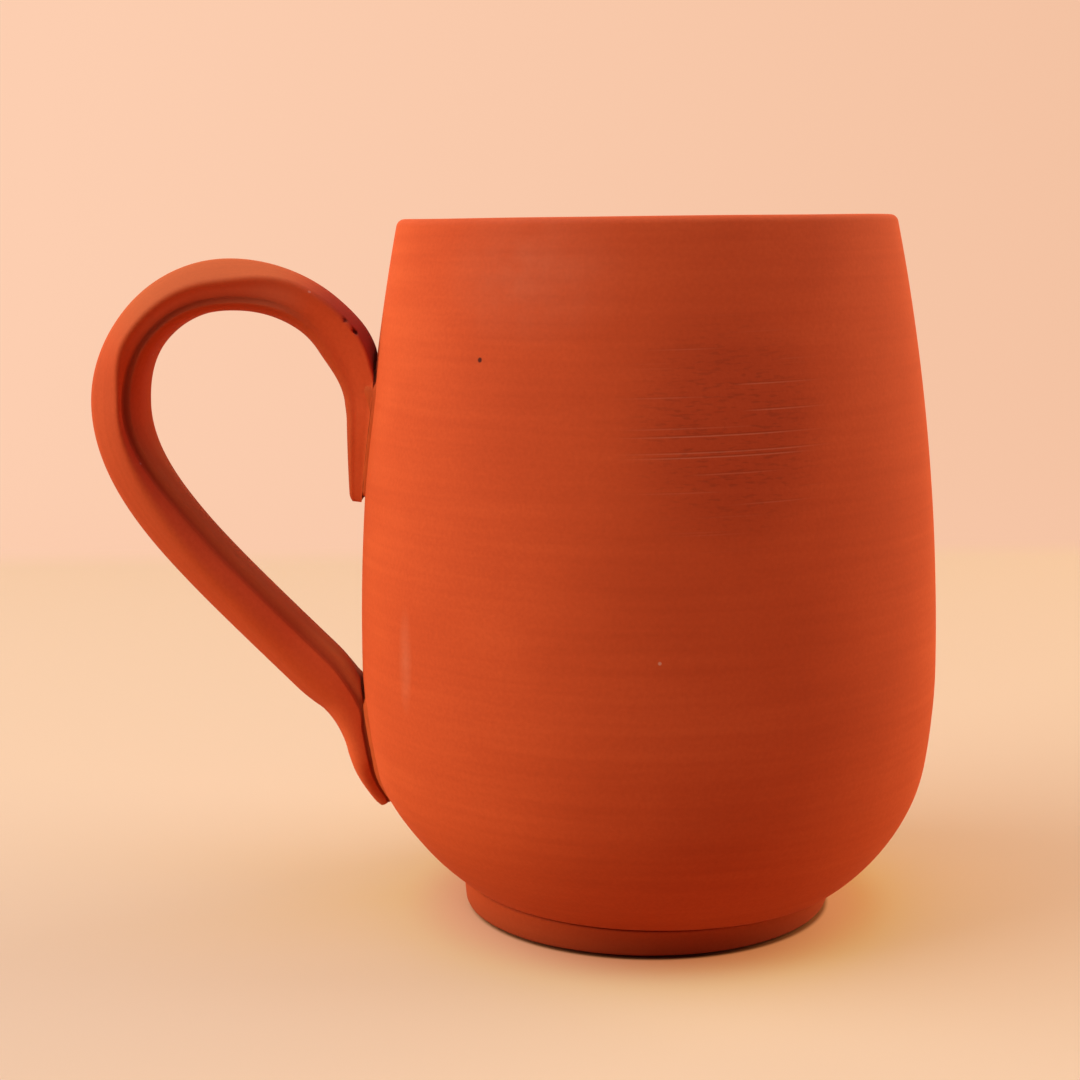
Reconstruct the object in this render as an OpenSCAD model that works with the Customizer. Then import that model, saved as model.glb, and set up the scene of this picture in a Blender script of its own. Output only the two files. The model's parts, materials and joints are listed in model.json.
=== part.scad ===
// Footed, handled barrel cup of unglazed red earthenware.
// The body is thrown, the foot ring is thrown and luted on, and the handle is a pulled strap whose two
// ends are thumbed onto the wall over thin beds of slip. Millimetres, +Z up. The origin is the middle
// of the foot on the table, and the handle stands on the -X side.

/* [Cup body] */
// Height of the cup from the table to the lip
cup_h = 100; // [85:1:125]
// Outside diameter at the lip
rim_d = 70; // [58:1:78]
// Outside diameter at the widest part of the belly
belly_d = 83; // [78:1:96]
// Height of the widest part of the belly
belly_z = 36.5; // [32:0.5:46]
// Diameter of the flat base that the foot is luted to
base_d = 57.6; // [50:0.2:64]
// Radius of the tight curve between the belly and the base
hip_r = 28; // [24:0.5:32]
// Angle below the belly at which the tight curve takes over
hip_angle = 11.5; // [9:0.5:15]
// Wall at the lip
rim_wall = 3.8; // [3.2:0.1:5]
// Wall at the belly
belly_wall = 4.6; // [3.6:0.1:6.5]
// Thickness of the floor
floor_t = 6; // [4:0.5:9]
// Radius of the curve from the floor into the wall
bowl_r = 16; // [11:0.5:19]
// Rounding of the lip's outer edge
lip_out_r = 1.2; // [0.6:0.1:1.5]
// Rounding of the lip's inner edge
lip_in_r = 1.6; // [0.6:0.1:1.7]

/* [Foot] */
// Height of the foot, with its bed of slip
foot_h = 5; // [3.5:0.1:8]
// How far the bowl stands out over the top of the foot
foot_step = 0.7; // [0.3:0.1:2]
// How much the foot's radius shrinks towards the table
foot_taper = 2; // [0:0.1:3]
// Width of the ring that stands on the table
foot_ring_w = 6.5; // [5:0.1:9]
// Rounding of the foot's two edges at the table
foot_edge_r = 0.8; // [0.3:0.1:1.2]

/* [Handle] */
// Distance from the cup's axis to the outermost point of the handle
handle_reach = 79.4; // [74:0.2:90]
// Depth of the handle's highest point below the lip
handle_top_drop = 4.9; // [0:0.2:12]
// Distance from the cup's axis to the handle's highest point
handle_top_out = 59.3; // [55:0.1:65]
// Depth of the handle's outermost point below the lip
handle_side_drop = 26; // [23:0.5:32]
// Depth below the lip at which the loop has come down onto the wall
upper_root_drop = 26; // [24:0.5:29]
// Depth of the upper tail's lower end below the lip
upper_tail_drop = 39.8; // [36:0.2:46]
// Height at which the inner side of the strut runs into the wall
lower_root_z = 34; // [30:0.5:38]
// Height of the lower end of the lower tail
lower_tail_z = 15.6; // [12:0.2:18]
// Slope of the strut above the level
strut_angle = 46; // [40:0.5:54]
// Width of the strap
strap_w = 15.5; // [13:0.5:20]
// Rise of the strap's arched outer face above the arris at its edges
crown_h = 2.8; // [2:0.1:3.6]
// Depth of the strap's flank, from its edge in to the crease
flank_h = 2.8; // [2:0.1:3.6]
// How far each flank has drawn in at the crease
crease_in = 1.75; // [1:0.05:2.5]
// How far the rib inside the crease swells out again on each side
rib_swell = 0.3; // [0.1:0.05:0.6]
// Depth of the rib inside the crease
rib_h = 1.8; // [1.2:0.1:2.4]
// Height of the bend from the lower tail into the strut
bend_h = 7.5; // [6:0.5:9]
// Thickness of the upper tail where the loop has come down
upper_tail_t = 3.6; // [3:0.1:4.6]
// Thickness of the lower tail below the bend
lower_tail_t = 4.2; // [3.4:0.1:5.4]
// Thickness of both tails at their ends
tail_end_t = 2; // [1.4:0.1:2.8]
// Width of both tails at their ends
tail_end_w = 9; // [7:0.5:12]
// Length over which the ends of the tails are rounded off
tail_end_l = 5; // [3:0.5:7]

/* [Slip joints] */
// Thickness of the beds of slip
slip_t = 0.4; // [0.2:0.05:0.8]
// How far the slip stays back from the edges that it joins
slip_setback = 2; // [1.2:0.1:2.6]
// How far the slip under the foot stays back from the foot's outer edge
foot_seam_in = 0.7; // [0.3:0.1:1.5]
// Gap between a bed of slip and the tail pressed onto it
press_gap = 0.04; // [0.03:0.01:0.1]

/* [Hidden] */

rim_r = rim_d / 2;
belly_r = belly_d / 2;
base_r = base_d / 2;
terracotta = "#c4582e";
wet_seam = "#9c4222";
$fn = 144;

// Number of straight steps in each arc of the profiles
hip_steps = 10;
belly_steps = 4;
side_steps = 12;
lip_steps = 5;
foot_steps = 4;
// Points closer than this are the same point
same_point = 0.001;

// Outer profile: three arcs that share their tangents.
// The side arc leaves the belly upright and passes through the lip. Its radius is negative, and the side
// hollow, where the lip is wider than the belly.
function side_radius(drop, rise) =
    let (bow = abs(drop) < same_point ? same_point : drop) (bow * bow + rise * rise) / (2 * bow);

// Distance from the axis to an arc of signed radius, at a height
function arc_out(c, r, z) = c.x + sign(r) * sqrt(r * r - pow(z - c.y, 2));
side_r = side_radius(belly_r - rim_r, cup_h - belly_z);
side_c = [belly_r - side_r, belly_z];
side_end = asin((cup_h - belly_z) / side_r);

// The belly arc leaves the belly upright, and hands over to the hip arc, which ends at the base.
hip_k = 1 - cos(hip_angle);
hip_a = base_r - belly_r + hip_r;
hip_b = foot_h - belly_z;
hip_m = hip_a * hip_k + hip_b * sin(hip_angle);
hip_shift = (-hip_m - sqrt(hip_m * hip_m - 2 * hip_k * (hip_a * hip_a + hip_b * hip_b - hip_r * hip_r)))
    / (2 * hip_k);
belly_arc_r = hip_r + hip_shift;
belly_c = [belly_r - belly_arc_r, belly_z];
hip_c = belly_c + hip_shift * [cos(hip_angle), -sin(hip_angle)];
hip_end = asin((hip_c.y - foot_h) / hip_r);

// Inner profile: a side arc again, and two arcs that run out level on the floor.
floor_z = foot_h + floor_t;
bore_r = belly_r - belly_wall;
mouth_r = rim_r - rim_wall;
bore_side_r = side_radius(bore_r - mouth_r, cup_h - belly_z);
bore_side_c = [bore_r - bore_side_r, belly_z];
bore_arc_r = (belly_z - floor_z - bowl_r * (1 - sin(hip_angle))) / sin(hip_angle);
bore_arc_c = [bore_r - bore_arc_r, belly_z];
bowl_c = bore_arc_c + (bore_arc_r - bowl_r) * [cos(hip_angle), -sin(hip_angle)];

// Lip: the centres of its two edge arcs, each touching the wall's own arc and the level top.
lip_out_z = cup_h - lip_out_r;
lip_out_c = [arc_out(side_c, side_r - lip_out_r, lip_out_z), lip_out_z];
lip_out_a = asin((lip_out_z - belly_z) / (side_r - lip_out_r));
lip_in_z = cup_h - lip_in_r;
lip_in_c = [arc_out(bore_side_c, bore_side_r + lip_in_r, lip_in_z), lip_in_z];
lip_in_a = asin((lip_in_z - belly_z) / (bore_side_r + lip_in_r));

function arc(c, r, from, to, steps) =
    [for (i = [0 : steps]) let (a = from + (to - from) * i / steps) c + r * [cos(a), sin(a)]];

// Outside of the body from the base to the side arc's end, standing off the clay by the given amount.
function outside(off, end) = concat(
    arc(hip_c, hip_r + off, -hip_end, -hip_angle, hip_steps),
    arc(belly_c, belly_arc_r + off, -hip_angle, 0, belly_steps),
    arc(side_c, side_r + off, 0, end, side_steps));

function reversed(points) = [for (i = [len(points) - 1 : -1 : 0]) points[i]];

// Drops a point that repeats the one before it, where two arcs meet.
function distinct(points) =
    [for (i = [0 : len(points) - 1]) if (i == 0 || norm(points[i] - points[i - 1]) > same_point) points[i]];

// Radius of that outside at a height.
function wall(z, off = 0) =
    z >= belly_z ? arc_out(side_c, side_r + off, z) :
    z >= belly_z - (belly_arc_r + off) * sin(hip_angle) ? arc_out(belly_c, belly_arc_r + off, z) :
    arc_out(hip_c, hip_r + off, z);

// Lean of the wall from upright at a height: positive where the cup widens upwards.
lean_reach = 0.1;
function lean(z) = atan2(wall(z + lean_reach) - wall(z - lean_reach), 2 * lean_reach);

// Thrown body: wall, floor and lip in one piece of clay.
module cup_body() {
    inside = concat(
        arc(lip_in_c, lip_in_r, 90, 180 + lip_in_a, lip_steps),
        arc(bore_side_c, bore_side_r, lip_in_a, 0, side_steps),
        arc(bore_arc_c, bore_arc_r, 0, -hip_angle, belly_steps),
        arc(bowl_c, bowl_r, -hip_angle, -90, hip_steps));
    color(terracotta)
        rotate_extrude()
            polygon(distinct(concat(
                [[0, foot_h]],
                outside(0, lip_out_a),
                arc(lip_out_c, lip_out_r, lip_out_a, 90, lip_steps),
                inside,
                [[0, floor_z]])));
}

// Foot ring: a low cone with a recess under the base, its standing edges softened.
foot_top_z = foot_h - slip_t;
foot_top_r = base_r - foot_step;
foot_low_r = foot_top_r - foot_taper;
foot_recess_r = foot_low_r - foot_ring_w;

module foot_ring() {
    slope = atan2(foot_taper, foot_top_z);
    outer_c = [foot_low_r - foot_edge_r * tan(45 + slope / 2) + foot_edge_r * tan(slope), foot_edge_r];
    inner_c = [foot_recess_r + foot_edge_r, foot_edge_r];
    color(terracotta)
        rotate_extrude()
            polygon(concat(
                arc(inner_c, foot_edge_r, 180, 270, foot_steps),
                arc(outer_c, foot_edge_r, 270, 360 - slope, foot_steps),
                [[foot_top_r, foot_top_z], [foot_recess_r, foot_top_z]]));
}

// Ring of slip between the foot and the base.
module foot_joint_slip() {
    inner_r = foot_recess_r + slip_setback;
    color(wet_seam)
        rotate_extrude()
            translate([inner_r, foot_top_z])
                square([foot_top_r - foot_seam_in - inner_r, slip_t]);
}

// Handle route, as [distance from the axis, height] along the strap's widest line.
// It climbs the wall as the lower tail, bends out into the strut, turns over the loop and comes down
// the wall again as the upper tail.
strap_in_h = flank_h + rib_h;
strap_t = crown_h + strap_in_h;
seat = slip_t + press_gap;
upper_root_z = cup_h - upper_root_drop;
upper_tail_z = cup_h - upper_tail_drop;
// Share of a tail's rounded side that is pressed flat
press_share = 0.3;
// Share of the width and of the thickness of a tail's end that is left at its tip
tip_width = 0.5;
tip_thickness = 0.4;
// How much shorter the rounding is across a tail's thickness than across its width
tip_blunt = 1.8;

function heading(a) = [sin(a), cos(a)];

function between(a, b, t) = a + (b - a) * t;

function clamped(t) = min(max(t, 0), 1);

function smooth(t) = let (u = clamped(t)) u * u * (3 - 2 * u);

function bezier(p, steps) =
    [for (i = [0 : steps]) let (t = i / steps, s = 1 - t)
        s * s * s * p[0] + 3 * s * s * t * p[1] + 3 * s * t * t * p[2] + t * t * t * p[3]];

// How far down its tail a height is: 0 where the tail starts on the wall, 1 at its end.
function down_lower(z) = clamped((bend_z - z) / (bend_z - lower_tail_z));
function down_upper(z) = clamped((upper_root_z - z) / (upper_root_z - upper_tail_z));

// Scale of the strap's thickness where a tail lies on the wall
function lower_thick(z) = between(lower_tail_t, tail_end_t, down_lower(z)) / strap_t;
function upper_thick(z) = between(upper_tail_t, tail_end_t, down_upper(z)) / strap_t;

// Distance from the axis to the strap's widest line there
function lower_line(z) = wall(z, seat) + (1 - press_share) * strap_in_h * lower_thick(z);
function upper_line(z) = wall(z, seat) + (1 - press_share) * crown_h * upper_thick(z);

// The strut's inner face meets the wall at the stated height, and the bend starts below it.
bend_past = 0.2;
strut_dir = [cos(strut_angle), sin(strut_angle)];
strut_foot = [wall(lower_root_z, seat), lower_root_z] + strap_in_h * [strut_dir.y, -strut_dir.x];
bend_z = strut_foot.y - bend_h;
bend_from = [lower_line(bend_z), bend_z];
strut_from = strut_foot + bend_h * bend_past * strut_dir;

// The loop's outermost point, its highest point and the point where it has come down onto the wall
loop_side = [handle_reach - crown_h, cup_h - handle_side_drop];
loop_top = [handle_top_out, cup_h - handle_top_drop - crown_h];
upper_root = [upper_line(upper_root_z), upper_root_z];
strut_l = norm(loop_side - strut_from);
loop_rise = loop_top.y - loop_side.y;
loop_out = loop_side.x - loop_top.x;
loop_in = loop_top.x - upper_root.x;
loop_fall = loop_top.y - upper_root.y;

// Shares of each stretch over which the route holds the direction that it starts or ends with
bend_hold = [0.45, 0.3];
strut_hold = [0.5, 0.24];
round_hold = 0.5523;
fall_hold = 0.56;

tail_rings = 9;
bend_rings = 6;
strut_rings = 16;
quarter_rings = 11;

lower_tail = [for (i = [0 : tail_rings - 1])
    let (z = between(lower_tail_z, bend_z, i / tail_rings)) [lower_line(z), z]];
bend = bezier([bend_from, bend_from + bend_h * bend_hold[0] * heading(lean(bend_z)),
    strut_from - bend_h * bend_hold[1] * strut_dir, strut_from], bend_rings);
strut = bezier([strut_from, strut_from + strut_l * strut_hold[0] * strut_dir,
    loop_side - [0, strut_l * strut_hold[1]], loop_side], strut_rings);
loop_rising = bezier([loop_side, loop_side + [0, loop_rise * round_hold],
    loop_top + [loop_out * round_hold, 0], loop_top], quarter_rings);
loop_falling = bezier([loop_top, loop_top - [loop_in * fall_hold, 0],
    upper_root + loop_fall * fall_hold * heading(lean(upper_root_z)), upper_root], quarter_rings);
upper_tail = [for (i = [1 : tail_rings])
    let (z = between(upper_root_z, upper_tail_z, i / tail_rings)) [upper_line(z), z]];
route = distinct(concat(lower_tail, bend, strut, loop_rising, loop_falling, upper_tail));
route_n = len(route);

function route_step(i) = route[min(i + 1, route_n - 1)] - route[max(i - 1, 0)];
function run(i) = i <= 0 ? 0 : run(i - 1) + norm(route[i] - route[i - 1]);
runs = [for (i = [0 : route_n - 1]) run(i)];
route_l = runs[route_n - 1];

// Share of the loop's fall over which the strap thins down to its upper tail
thin_share = 0.65;
// Runs between which the strap has its full thickness, and between which it goes over into its tails
lower_from = runs[tail_rings];
lower_full = runs[tail_rings + bend_rings] + bend_h / 2;
upper_to = runs[route_n - 1 - tail_rings];
upper_full = upper_to - loop_fall * thin_share;

function tip_round(share, left) = sqrt(1 - (1 - left * left) * pow(1 - min(1, share), 2));
function from_tip(s) = min(s, route_l - s) / tail_end_l;

// How free of the wall the strap is: 0 on a tail, 1 where it has its full thickness.
function low_free(i) = smooth((runs[i] - lower_from) / (lower_full - lower_from));
function top_free(i) = smooth((upper_to - runs[i]) / (upper_to - upper_full));

function thickness(i) =
    let (z = route[i].y,
        low = between(lower_thick(z), 1, low_free(i)),
        top = between(upper_thick(z), 1, top_free(i)))
    min(low, top) * tip_round(tip_blunt * from_tip(runs[i]), tip_thickness);

function width(i) =
    let (s = runs[i], z = route[i].y,
        down = s < lower_from ? down_lower(z) : s > upper_to ? down_upper(z) : 0)
    between(1, tail_end_w / strap_w, down) * tip_round(from_tip(s), tip_width);

// The crease is full on the strut and the loop. It opens over twice the bend's height and closes over
// the stretch before the loop starts to fall.
function crease_share(i) =
    smooth((runs[i] - lower_from) / (2 * bend_h)) * smooth((upper_to - loop_fall - runs[i]) / loop_fall);

// Roundness of the rib: 1 is an ellipse, and less is squarer
rib_round = 0.55;
crown_steps = 5;
rib_steps = 4;
rib_from = 20;
// The flank bulges by this share of its draw-in, at this share of its depth
flank_bulge = 0.125;
flank_bulge_at = 0.6;
// Share of the draw-in that is left where the crease has faded out
faded_in = 0.5;

// Half of the strap's section, from the middle of its outer face to the middle of its inner face:
// the arched outer face, the arris at its edge, the flank that runs in to the crease, and the rib inside.
function half_section(w, t, crease) =
    let (edge = strap_w / 2,
        crown_a = 2 * atan(crown_h / edge),
        crown_r = edge / sin(crown_a),
        crease_x = edge - crease_in * between(faded_in, 1, crease),
        rib_x = crease_x + rib_swell * between(-1, 1, crease),
        flank_x = (edge + crease_x) / 2 + crease_in * flank_bulge)
    concat(
        [for (i = [0 : crown_steps]) let (a = crown_a * i / crown_steps)
            [w * crown_r * sin(a), t * (crown_h - crown_r * (1 - cos(a)))]],
        [[w * flank_x, -t * flank_h * flank_bulge_at]],
        [[w * crease_x, -t * flank_h]],
        [for (i = [0 : rib_steps]) let (a = between(rib_from, 90, i / rib_steps))
            [w * rib_x * pow(cos(a), rib_round), -t * (flank_h + rib_h * sin(a))]]);

half_n = len(half_section(1, 1, 1));
ring_n = 2 * half_n - 2;

function section(w, t, crease) =
    let (half = half_section(w, t, crease))
    concat(half, [for (i = [half_n - 2 : -1 : 1]) [-half[i].x, half[i].y]]);

// Clay that would enter the wall is pressed back onto the bed of slip.
function pressed(p) =
    let (r = norm([p.x, p.y]), least = wall(p.z, seat))
    r < least ? [p.x * least / r, p.y * least / r, p.z] : p;

// Section of the strap at a point of its route. The tails take on the roundness of the wall.
function strap_ring(i) =
    let (step = route_step(i), dir = step / norm(step), out = [dir.y, -dir.x],
        free = min(low_free(i), top_free(i)))
    [for (q = section(width(i), thickness(i), crease_share(i)))
        let (p = route[i] + q.y * out, wrapped = sqrt(p.x * p.x - q.x * q.x))
        pressed([-between(wrapped, p.x, free), q.x, p.y])];

// Pulled strap handle with both tails, lofted along its route.
module handle() {
    points = [for (i = [0 : route_n - 1]) each strap_ring(i)];
    sides = [for (i = [0 : route_n - 2]) for (j = [0 : ring_n - 1])
        let (a = i * ring_n + j, b = i * ring_n + (j + 1) % ring_n)
        each [[a, b, a + ring_n], [b, b + ring_n, a + ring_n]]];
    last = (route_n - 1) * ring_n;
    caps = [for (j = [0 : half_n - 2])
        let (right = j, next = j + 1, left = (ring_n - j) % ring_n, left_next = ring_n - j - 1)
        each concat(
            j == 0 ? [] : [[right, left, next], [last + right, last + next, last + left]],
            j == half_n - 2 ? [] : [[left, left_next, next], [last + left, last + next, last + left_next]])];
    color(terracotta)
        polyhedron(points, concat(sides, caps));
}

// Bed of slip on the wall under a tail, between two heights. It narrows down the tail, and all its
// edges stay under the clay.
module slip_bed(low, high) {
    low_w = tail_end_w * tip_width;
    high_w = strap_w - 2 * slip_setback;
    color(wet_seam)
        intersection() {
            rotate_extrude()
                polygon(distinct(concat(outside(slip_t, side_end), reversed(outside(0, side_end)))));
            rotate([90, 0, -90])
                linear_extrude(handle_reach)
                    polygon([[-low_w / 2, low], [low_w / 2, low], [high_w / 2, high], [-high_w / 2, high]]);
        }
}

module upper_joint_slip() {
    slip_bed(upper_tail_z + slip_setback, upper_root_z + strap_t / 2);
}

module lower_joint_slip() {
    slip_bed(lower_tail_z + slip_setback, lower_root_z - strap_t / 2);
}

cup_body();
foot_ring();
foot_joint_slip();
handle();
upper_joint_slip();
lower_joint_slip();
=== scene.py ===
# %% [markdown]
# # A footed barrel cup of unglazed red clay
# The cup is hand-made in three lumps of clay: a body thrown on the wheel, a foot ring turned and stuck
# under it, and a strap handle pulled by hand and thumbed onto the wall. Thin beds of slip, which is clay
# thinned with water, hold the lumps together until the kiln makes them one.
# The construction model gives the place and size of each piece. This lesson gives them the look of fired
# clay: soft edges, throwing lines, a torn bend in the handle, and a matte, grainy skin.

# %% Load the frame and keep its box
import json
import math
import bpy
import numpy as np
from mathutils import Matrix, Vector, noise

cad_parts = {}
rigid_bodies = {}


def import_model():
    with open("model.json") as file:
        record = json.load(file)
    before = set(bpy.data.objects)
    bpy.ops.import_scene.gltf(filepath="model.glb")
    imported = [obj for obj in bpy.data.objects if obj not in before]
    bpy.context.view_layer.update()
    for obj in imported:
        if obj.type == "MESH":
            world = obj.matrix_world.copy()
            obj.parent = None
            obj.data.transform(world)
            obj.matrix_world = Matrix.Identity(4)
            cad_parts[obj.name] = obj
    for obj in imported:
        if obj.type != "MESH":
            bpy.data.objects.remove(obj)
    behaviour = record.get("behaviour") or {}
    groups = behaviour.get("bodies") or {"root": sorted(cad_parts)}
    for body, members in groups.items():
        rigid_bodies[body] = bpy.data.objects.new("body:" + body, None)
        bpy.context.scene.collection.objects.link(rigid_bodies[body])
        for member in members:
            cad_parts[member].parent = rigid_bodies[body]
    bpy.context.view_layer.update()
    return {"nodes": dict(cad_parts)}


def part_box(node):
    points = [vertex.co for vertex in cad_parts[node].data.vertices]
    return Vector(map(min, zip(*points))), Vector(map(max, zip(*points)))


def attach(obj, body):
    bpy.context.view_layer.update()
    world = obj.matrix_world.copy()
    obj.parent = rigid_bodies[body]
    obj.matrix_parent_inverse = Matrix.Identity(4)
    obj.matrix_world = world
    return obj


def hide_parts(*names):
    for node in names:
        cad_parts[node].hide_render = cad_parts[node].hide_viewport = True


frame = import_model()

print("nodes in the frame:", sorted(frame["nodes"]))

# %% [markdown]
# ## Sizes
# All sizes are millimetres, as a potter would measure them, and become metres only when a mesh is made.
# What the frame's boxes tell is read from them, so the visible cup follows the construction model. The
# remaining values are the radii and walls that a box can't tell.

# %% Sizes of the cup
MM = 0.001


def box_mm(node):
    """Lowest and highest corner of a node of the frame, in millimetres."""
    return [np.array(corner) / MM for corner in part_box(node)]


cup_low, cup_high = box_mm("cup_body")
foot_high = box_mm("foot_ring")[1]
handle_low, handle_high = box_mm("handle")
CUP_H = cup_high[2]
BELLY_R = cup_high[1]
FOOT_H = cup_low[2]
FOOT_TOP_Z = foot_high[2]
FOOT_TOP_R = foot_high[1]
HANDLE_REACH = -handle_low[0]
HANDLE_TOP_Z = handle_high[2]
LOWER_TAIL_Z = handle_low[2]

RIM_R = 35.0
BELLY_Z = 36.5
BASE_R = 28.8
HIP_R = 28.0
HIP_ANGLE = math.radians(11.5)
RIM_WALL = 3.8
BELLY_WALL = 4.6
FLOOR_T = 6.0
BOWL_R = 16.0
LIP_OUT_R = 1.2
LIP_IN_R = 1.6
FOOT_TAPER = 1.35
FOOT_RING_W = 6.5
FOOT_EDGE_R = 0.5
FOOT_BEVEL_W = 3.0
FOOT_BEVEL_H = 0.55
SLIP_T = 0.4
print(f"cup {CUP_H:.1f} mm high, belly {2 * BELLY_R:.1f} mm across")
print(f"handle reaches {HANDLE_REACH:.1f} mm from the axis")

# %% [markdown]
# ## The turned outline
# A thrown wall is a run of arcs that share their tangents: a tight hip over the foot, a flatter belly and
# a long side that leans in to the lip. Each arc is worked out from the sizes above. The same outline
# tells the handle where the wall is, so it is written as a function of height too.

# %% Arcs of the outer and inner wall


def arc_out(centre, radius, z):
    """Distance from the axis to an arc at a height."""
    return centre[0] + np.sqrt(radius**2 - (z - centre[1]) ** 2)


def side_radius(drop, rise):
    """Radius of an arc that leaves the belly upright and passes through the lip."""
    return (drop**2 + rise**2) / (2 * drop)


rise = CUP_H - BELLY_Z
SIDE_R = side_radius(BELLY_R - RIM_R, rise)
SIDE_C = (BELLY_R - SIDE_R, BELLY_Z)
hip_share = 1 - math.cos(HIP_ANGLE)
hip_out = BASE_R - BELLY_R + HIP_R
hip_up = FOOT_H - BELLY_Z
hip_mix = hip_out * hip_share + hip_up * math.sin(HIP_ANGLE)
hip_root = math.sqrt(hip_mix**2 - 2 * hip_share * (hip_out**2 + hip_up**2 - HIP_R**2))
hip_shift = -(hip_mix + hip_root) / (2 * hip_share)
BELLY_ARC_R = HIP_R + hip_shift
BELLY_C = (BELLY_R - BELLY_ARC_R, BELLY_Z)
HIP_C = (BELLY_C[0] + hip_shift * math.cos(HIP_ANGLE), BELLY_C[1] - hip_shift * math.sin(HIP_ANGLE))
HIP_END = math.asin((HIP_C[1] - FOOT_H) / HIP_R)

FLOOR_Z = FOOT_H + FLOOR_T
BORE_R = BELLY_R - BELLY_WALL
BORE_SIDE_R = side_radius(BORE_R - (RIM_R - RIM_WALL), rise)
BORE_SIDE_C = (BORE_R - BORE_SIDE_R, BELLY_Z)
BORE_ARC_R = (BELLY_Z - FLOOR_Z - BOWL_R * (1 - math.sin(HIP_ANGLE))) / math.sin(HIP_ANGLE)
BORE_ARC_C = (BORE_R - BORE_ARC_R, BELLY_Z)
bowl_shift = BORE_ARC_R - BOWL_R
BOWL_C = (BORE_ARC_C[0] + bowl_shift * math.cos(HIP_ANGLE), BELLY_Z - bowl_shift * math.sin(HIP_ANGLE))


def wall(z, off=0.0):
    """Radius of the outside at a height, standing off the clay by the given amount."""
    z = np.asarray(z, float)
    hand_over = BELLY_Z - (BELLY_ARC_R + off) * math.sin(HIP_ANGLE)
    side = arc_out(SIDE_C, SIDE_R + off, z)
    belly = arc_out(BELLY_C, BELLY_ARC_R + off, np.clip(z, hand_over, BELLY_Z))
    hip = arc_out(HIP_C, HIP_R + off, np.clip(z, FOOT_H, hand_over))
    return np.where(z >= BELLY_Z, side, np.where(z >= hand_over, belly, hip))


print(f"side arc {SIDE_R:.1f} mm, belly arc {BELLY_ARC_R:.1f} mm, hip arc {HIP_R:.1f} mm")
print(f"radius at the lip {wall(CUP_H):.2f} mm, at the base {wall(FOOT_H):.2f} mm")

# %% [markdown]
# ## One function for nodes, one for colours
# Both the shapes and the materials below are node trees built in code. One small function adds a node,
# sets its properties and fills its sockets: a value goes into a socket, and another node's output is
# linked to it. Colours are written as sRGB hex values, as a colour picker shows them, and turned to the
# linear values that the renderer counts in.

# %% Node and colour helpers


def add(tree, kind, sockets=None, **settings):
    """Adds a node, sets its properties, and sets or links its input sockets by name or number."""
    made = tree.nodes.new(kind)
    for name, value in settings.items():
        setattr(made, name, value)
    for key, value in (sockets or {}).items():
        if isinstance(value, bpy.types.NodeSocket):
            tree.links.new(value, made.inputs[key])
        else:
            made.inputs[key].default_value = value
    return made


def linear(hex_colour):
    """Linear RGBA of an sRGB hex colour."""
    channels = [int(hex_colour[i : i + 2], 16) / 255 for i in (1, 3, 5)]
    return [c / 12.92 if c <= 0.04045 else ((c + 0.055) / 1.055) ** 2.4 for c in channels] + [1.0]


print("red clay in linear light:", [round(c, 3) for c in linear("#d25a2c")])

# %% [markdown]
# ## The fired clay
# Unglazed earthenware, thrown wet, sponged and fired once. The eye gets a matte orange red with hardly
# any gloss, fine sand grain, soft bands round the pot where fingers and rib have passed, and cloudy
# patches where the clay was denser. All the clay pieces share that base. The streaks run round the pot
# on the wheel-made pieces and along the strap on the handle, so the base takes its streak direction as a
# socket.
# The grain of the real clay is about a quarter of a millimetre. It is drawn at half a millimetre,
# because finer grain would vanish between the pixels.

# %% The base that all the clay shares
CLAY_DARK = "#d35421"
CLAY_MID = "#db5a25"
CLAY_PALE = "#e3622b"
CLAY_DUST = "#e79a72"
CLAY_PIT = "#5a1d10"
GRAIN_MM = 0.5
CLOUD_MM = 22.0
STREAK_MM = 1.2
STREAK_LONG_MM = 30.0
STREAK_TONE = 0.32
GRAIN_TONE = 0.3
TONE_RANGE = (1.15, 1.85)
GRAIN_RELIEF_MM = 0.03
STREAK_RELIEF_MM = 0.006


def clay_base(tree, streak_vector):
    """Colour and height of plain fired clay: sockets for the shader. Streaks follow the given vector."""
    place = add(tree, "ShaderNodeTexCoord").outputs["Object"]
    cloud = add(tree, "ShaderNodeTexNoise", {"Vector": place, "Scale": 1 / (CLOUD_MM * MM), "Detail": 2.0})
    grain = add(tree, "ShaderNodeTexNoise", {"Vector": place, "Scale": 1 / (GRAIN_MM * MM), "Detail": 3.0})
    streak = add(tree, "ShaderNodeTexNoise", {"Vector": streak_vector, "Scale": 1.0, "Detail": 3.0})
    tone = cloud.outputs[0]
    for pattern, strength in ((streak, STREAK_TONE), (grain, GRAIN_TONE)):
        faint = {0: pattern.outputs[0], 3: 0.5 - strength, 4: 0.5 + strength}
        faint = add(tree, "ShaderNodeMapRange", faint).outputs[0]
        tone = add(tree, "ShaderNodeMath", {0: tone, 1: faint}, operation="ADD").outputs[0]
    share = add(tree, "ShaderNodeMapRange", {0: tone, 1: TONE_RANGE[0], 2: TONE_RANGE[1]})
    colour = add(tree, "ShaderNodeValToRGB", {0: share.outputs[0]})
    colour.color_ramp.elements[0].color = linear(CLAY_DARK)
    colour.color_ramp.elements[1].color = linear(CLAY_PALE)
    colour.color_ramp.elements.new(0.5).color = linear(CLAY_MID)
    return colour.outputs[0], grain.outputs[0], streak.outputs[0]


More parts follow.
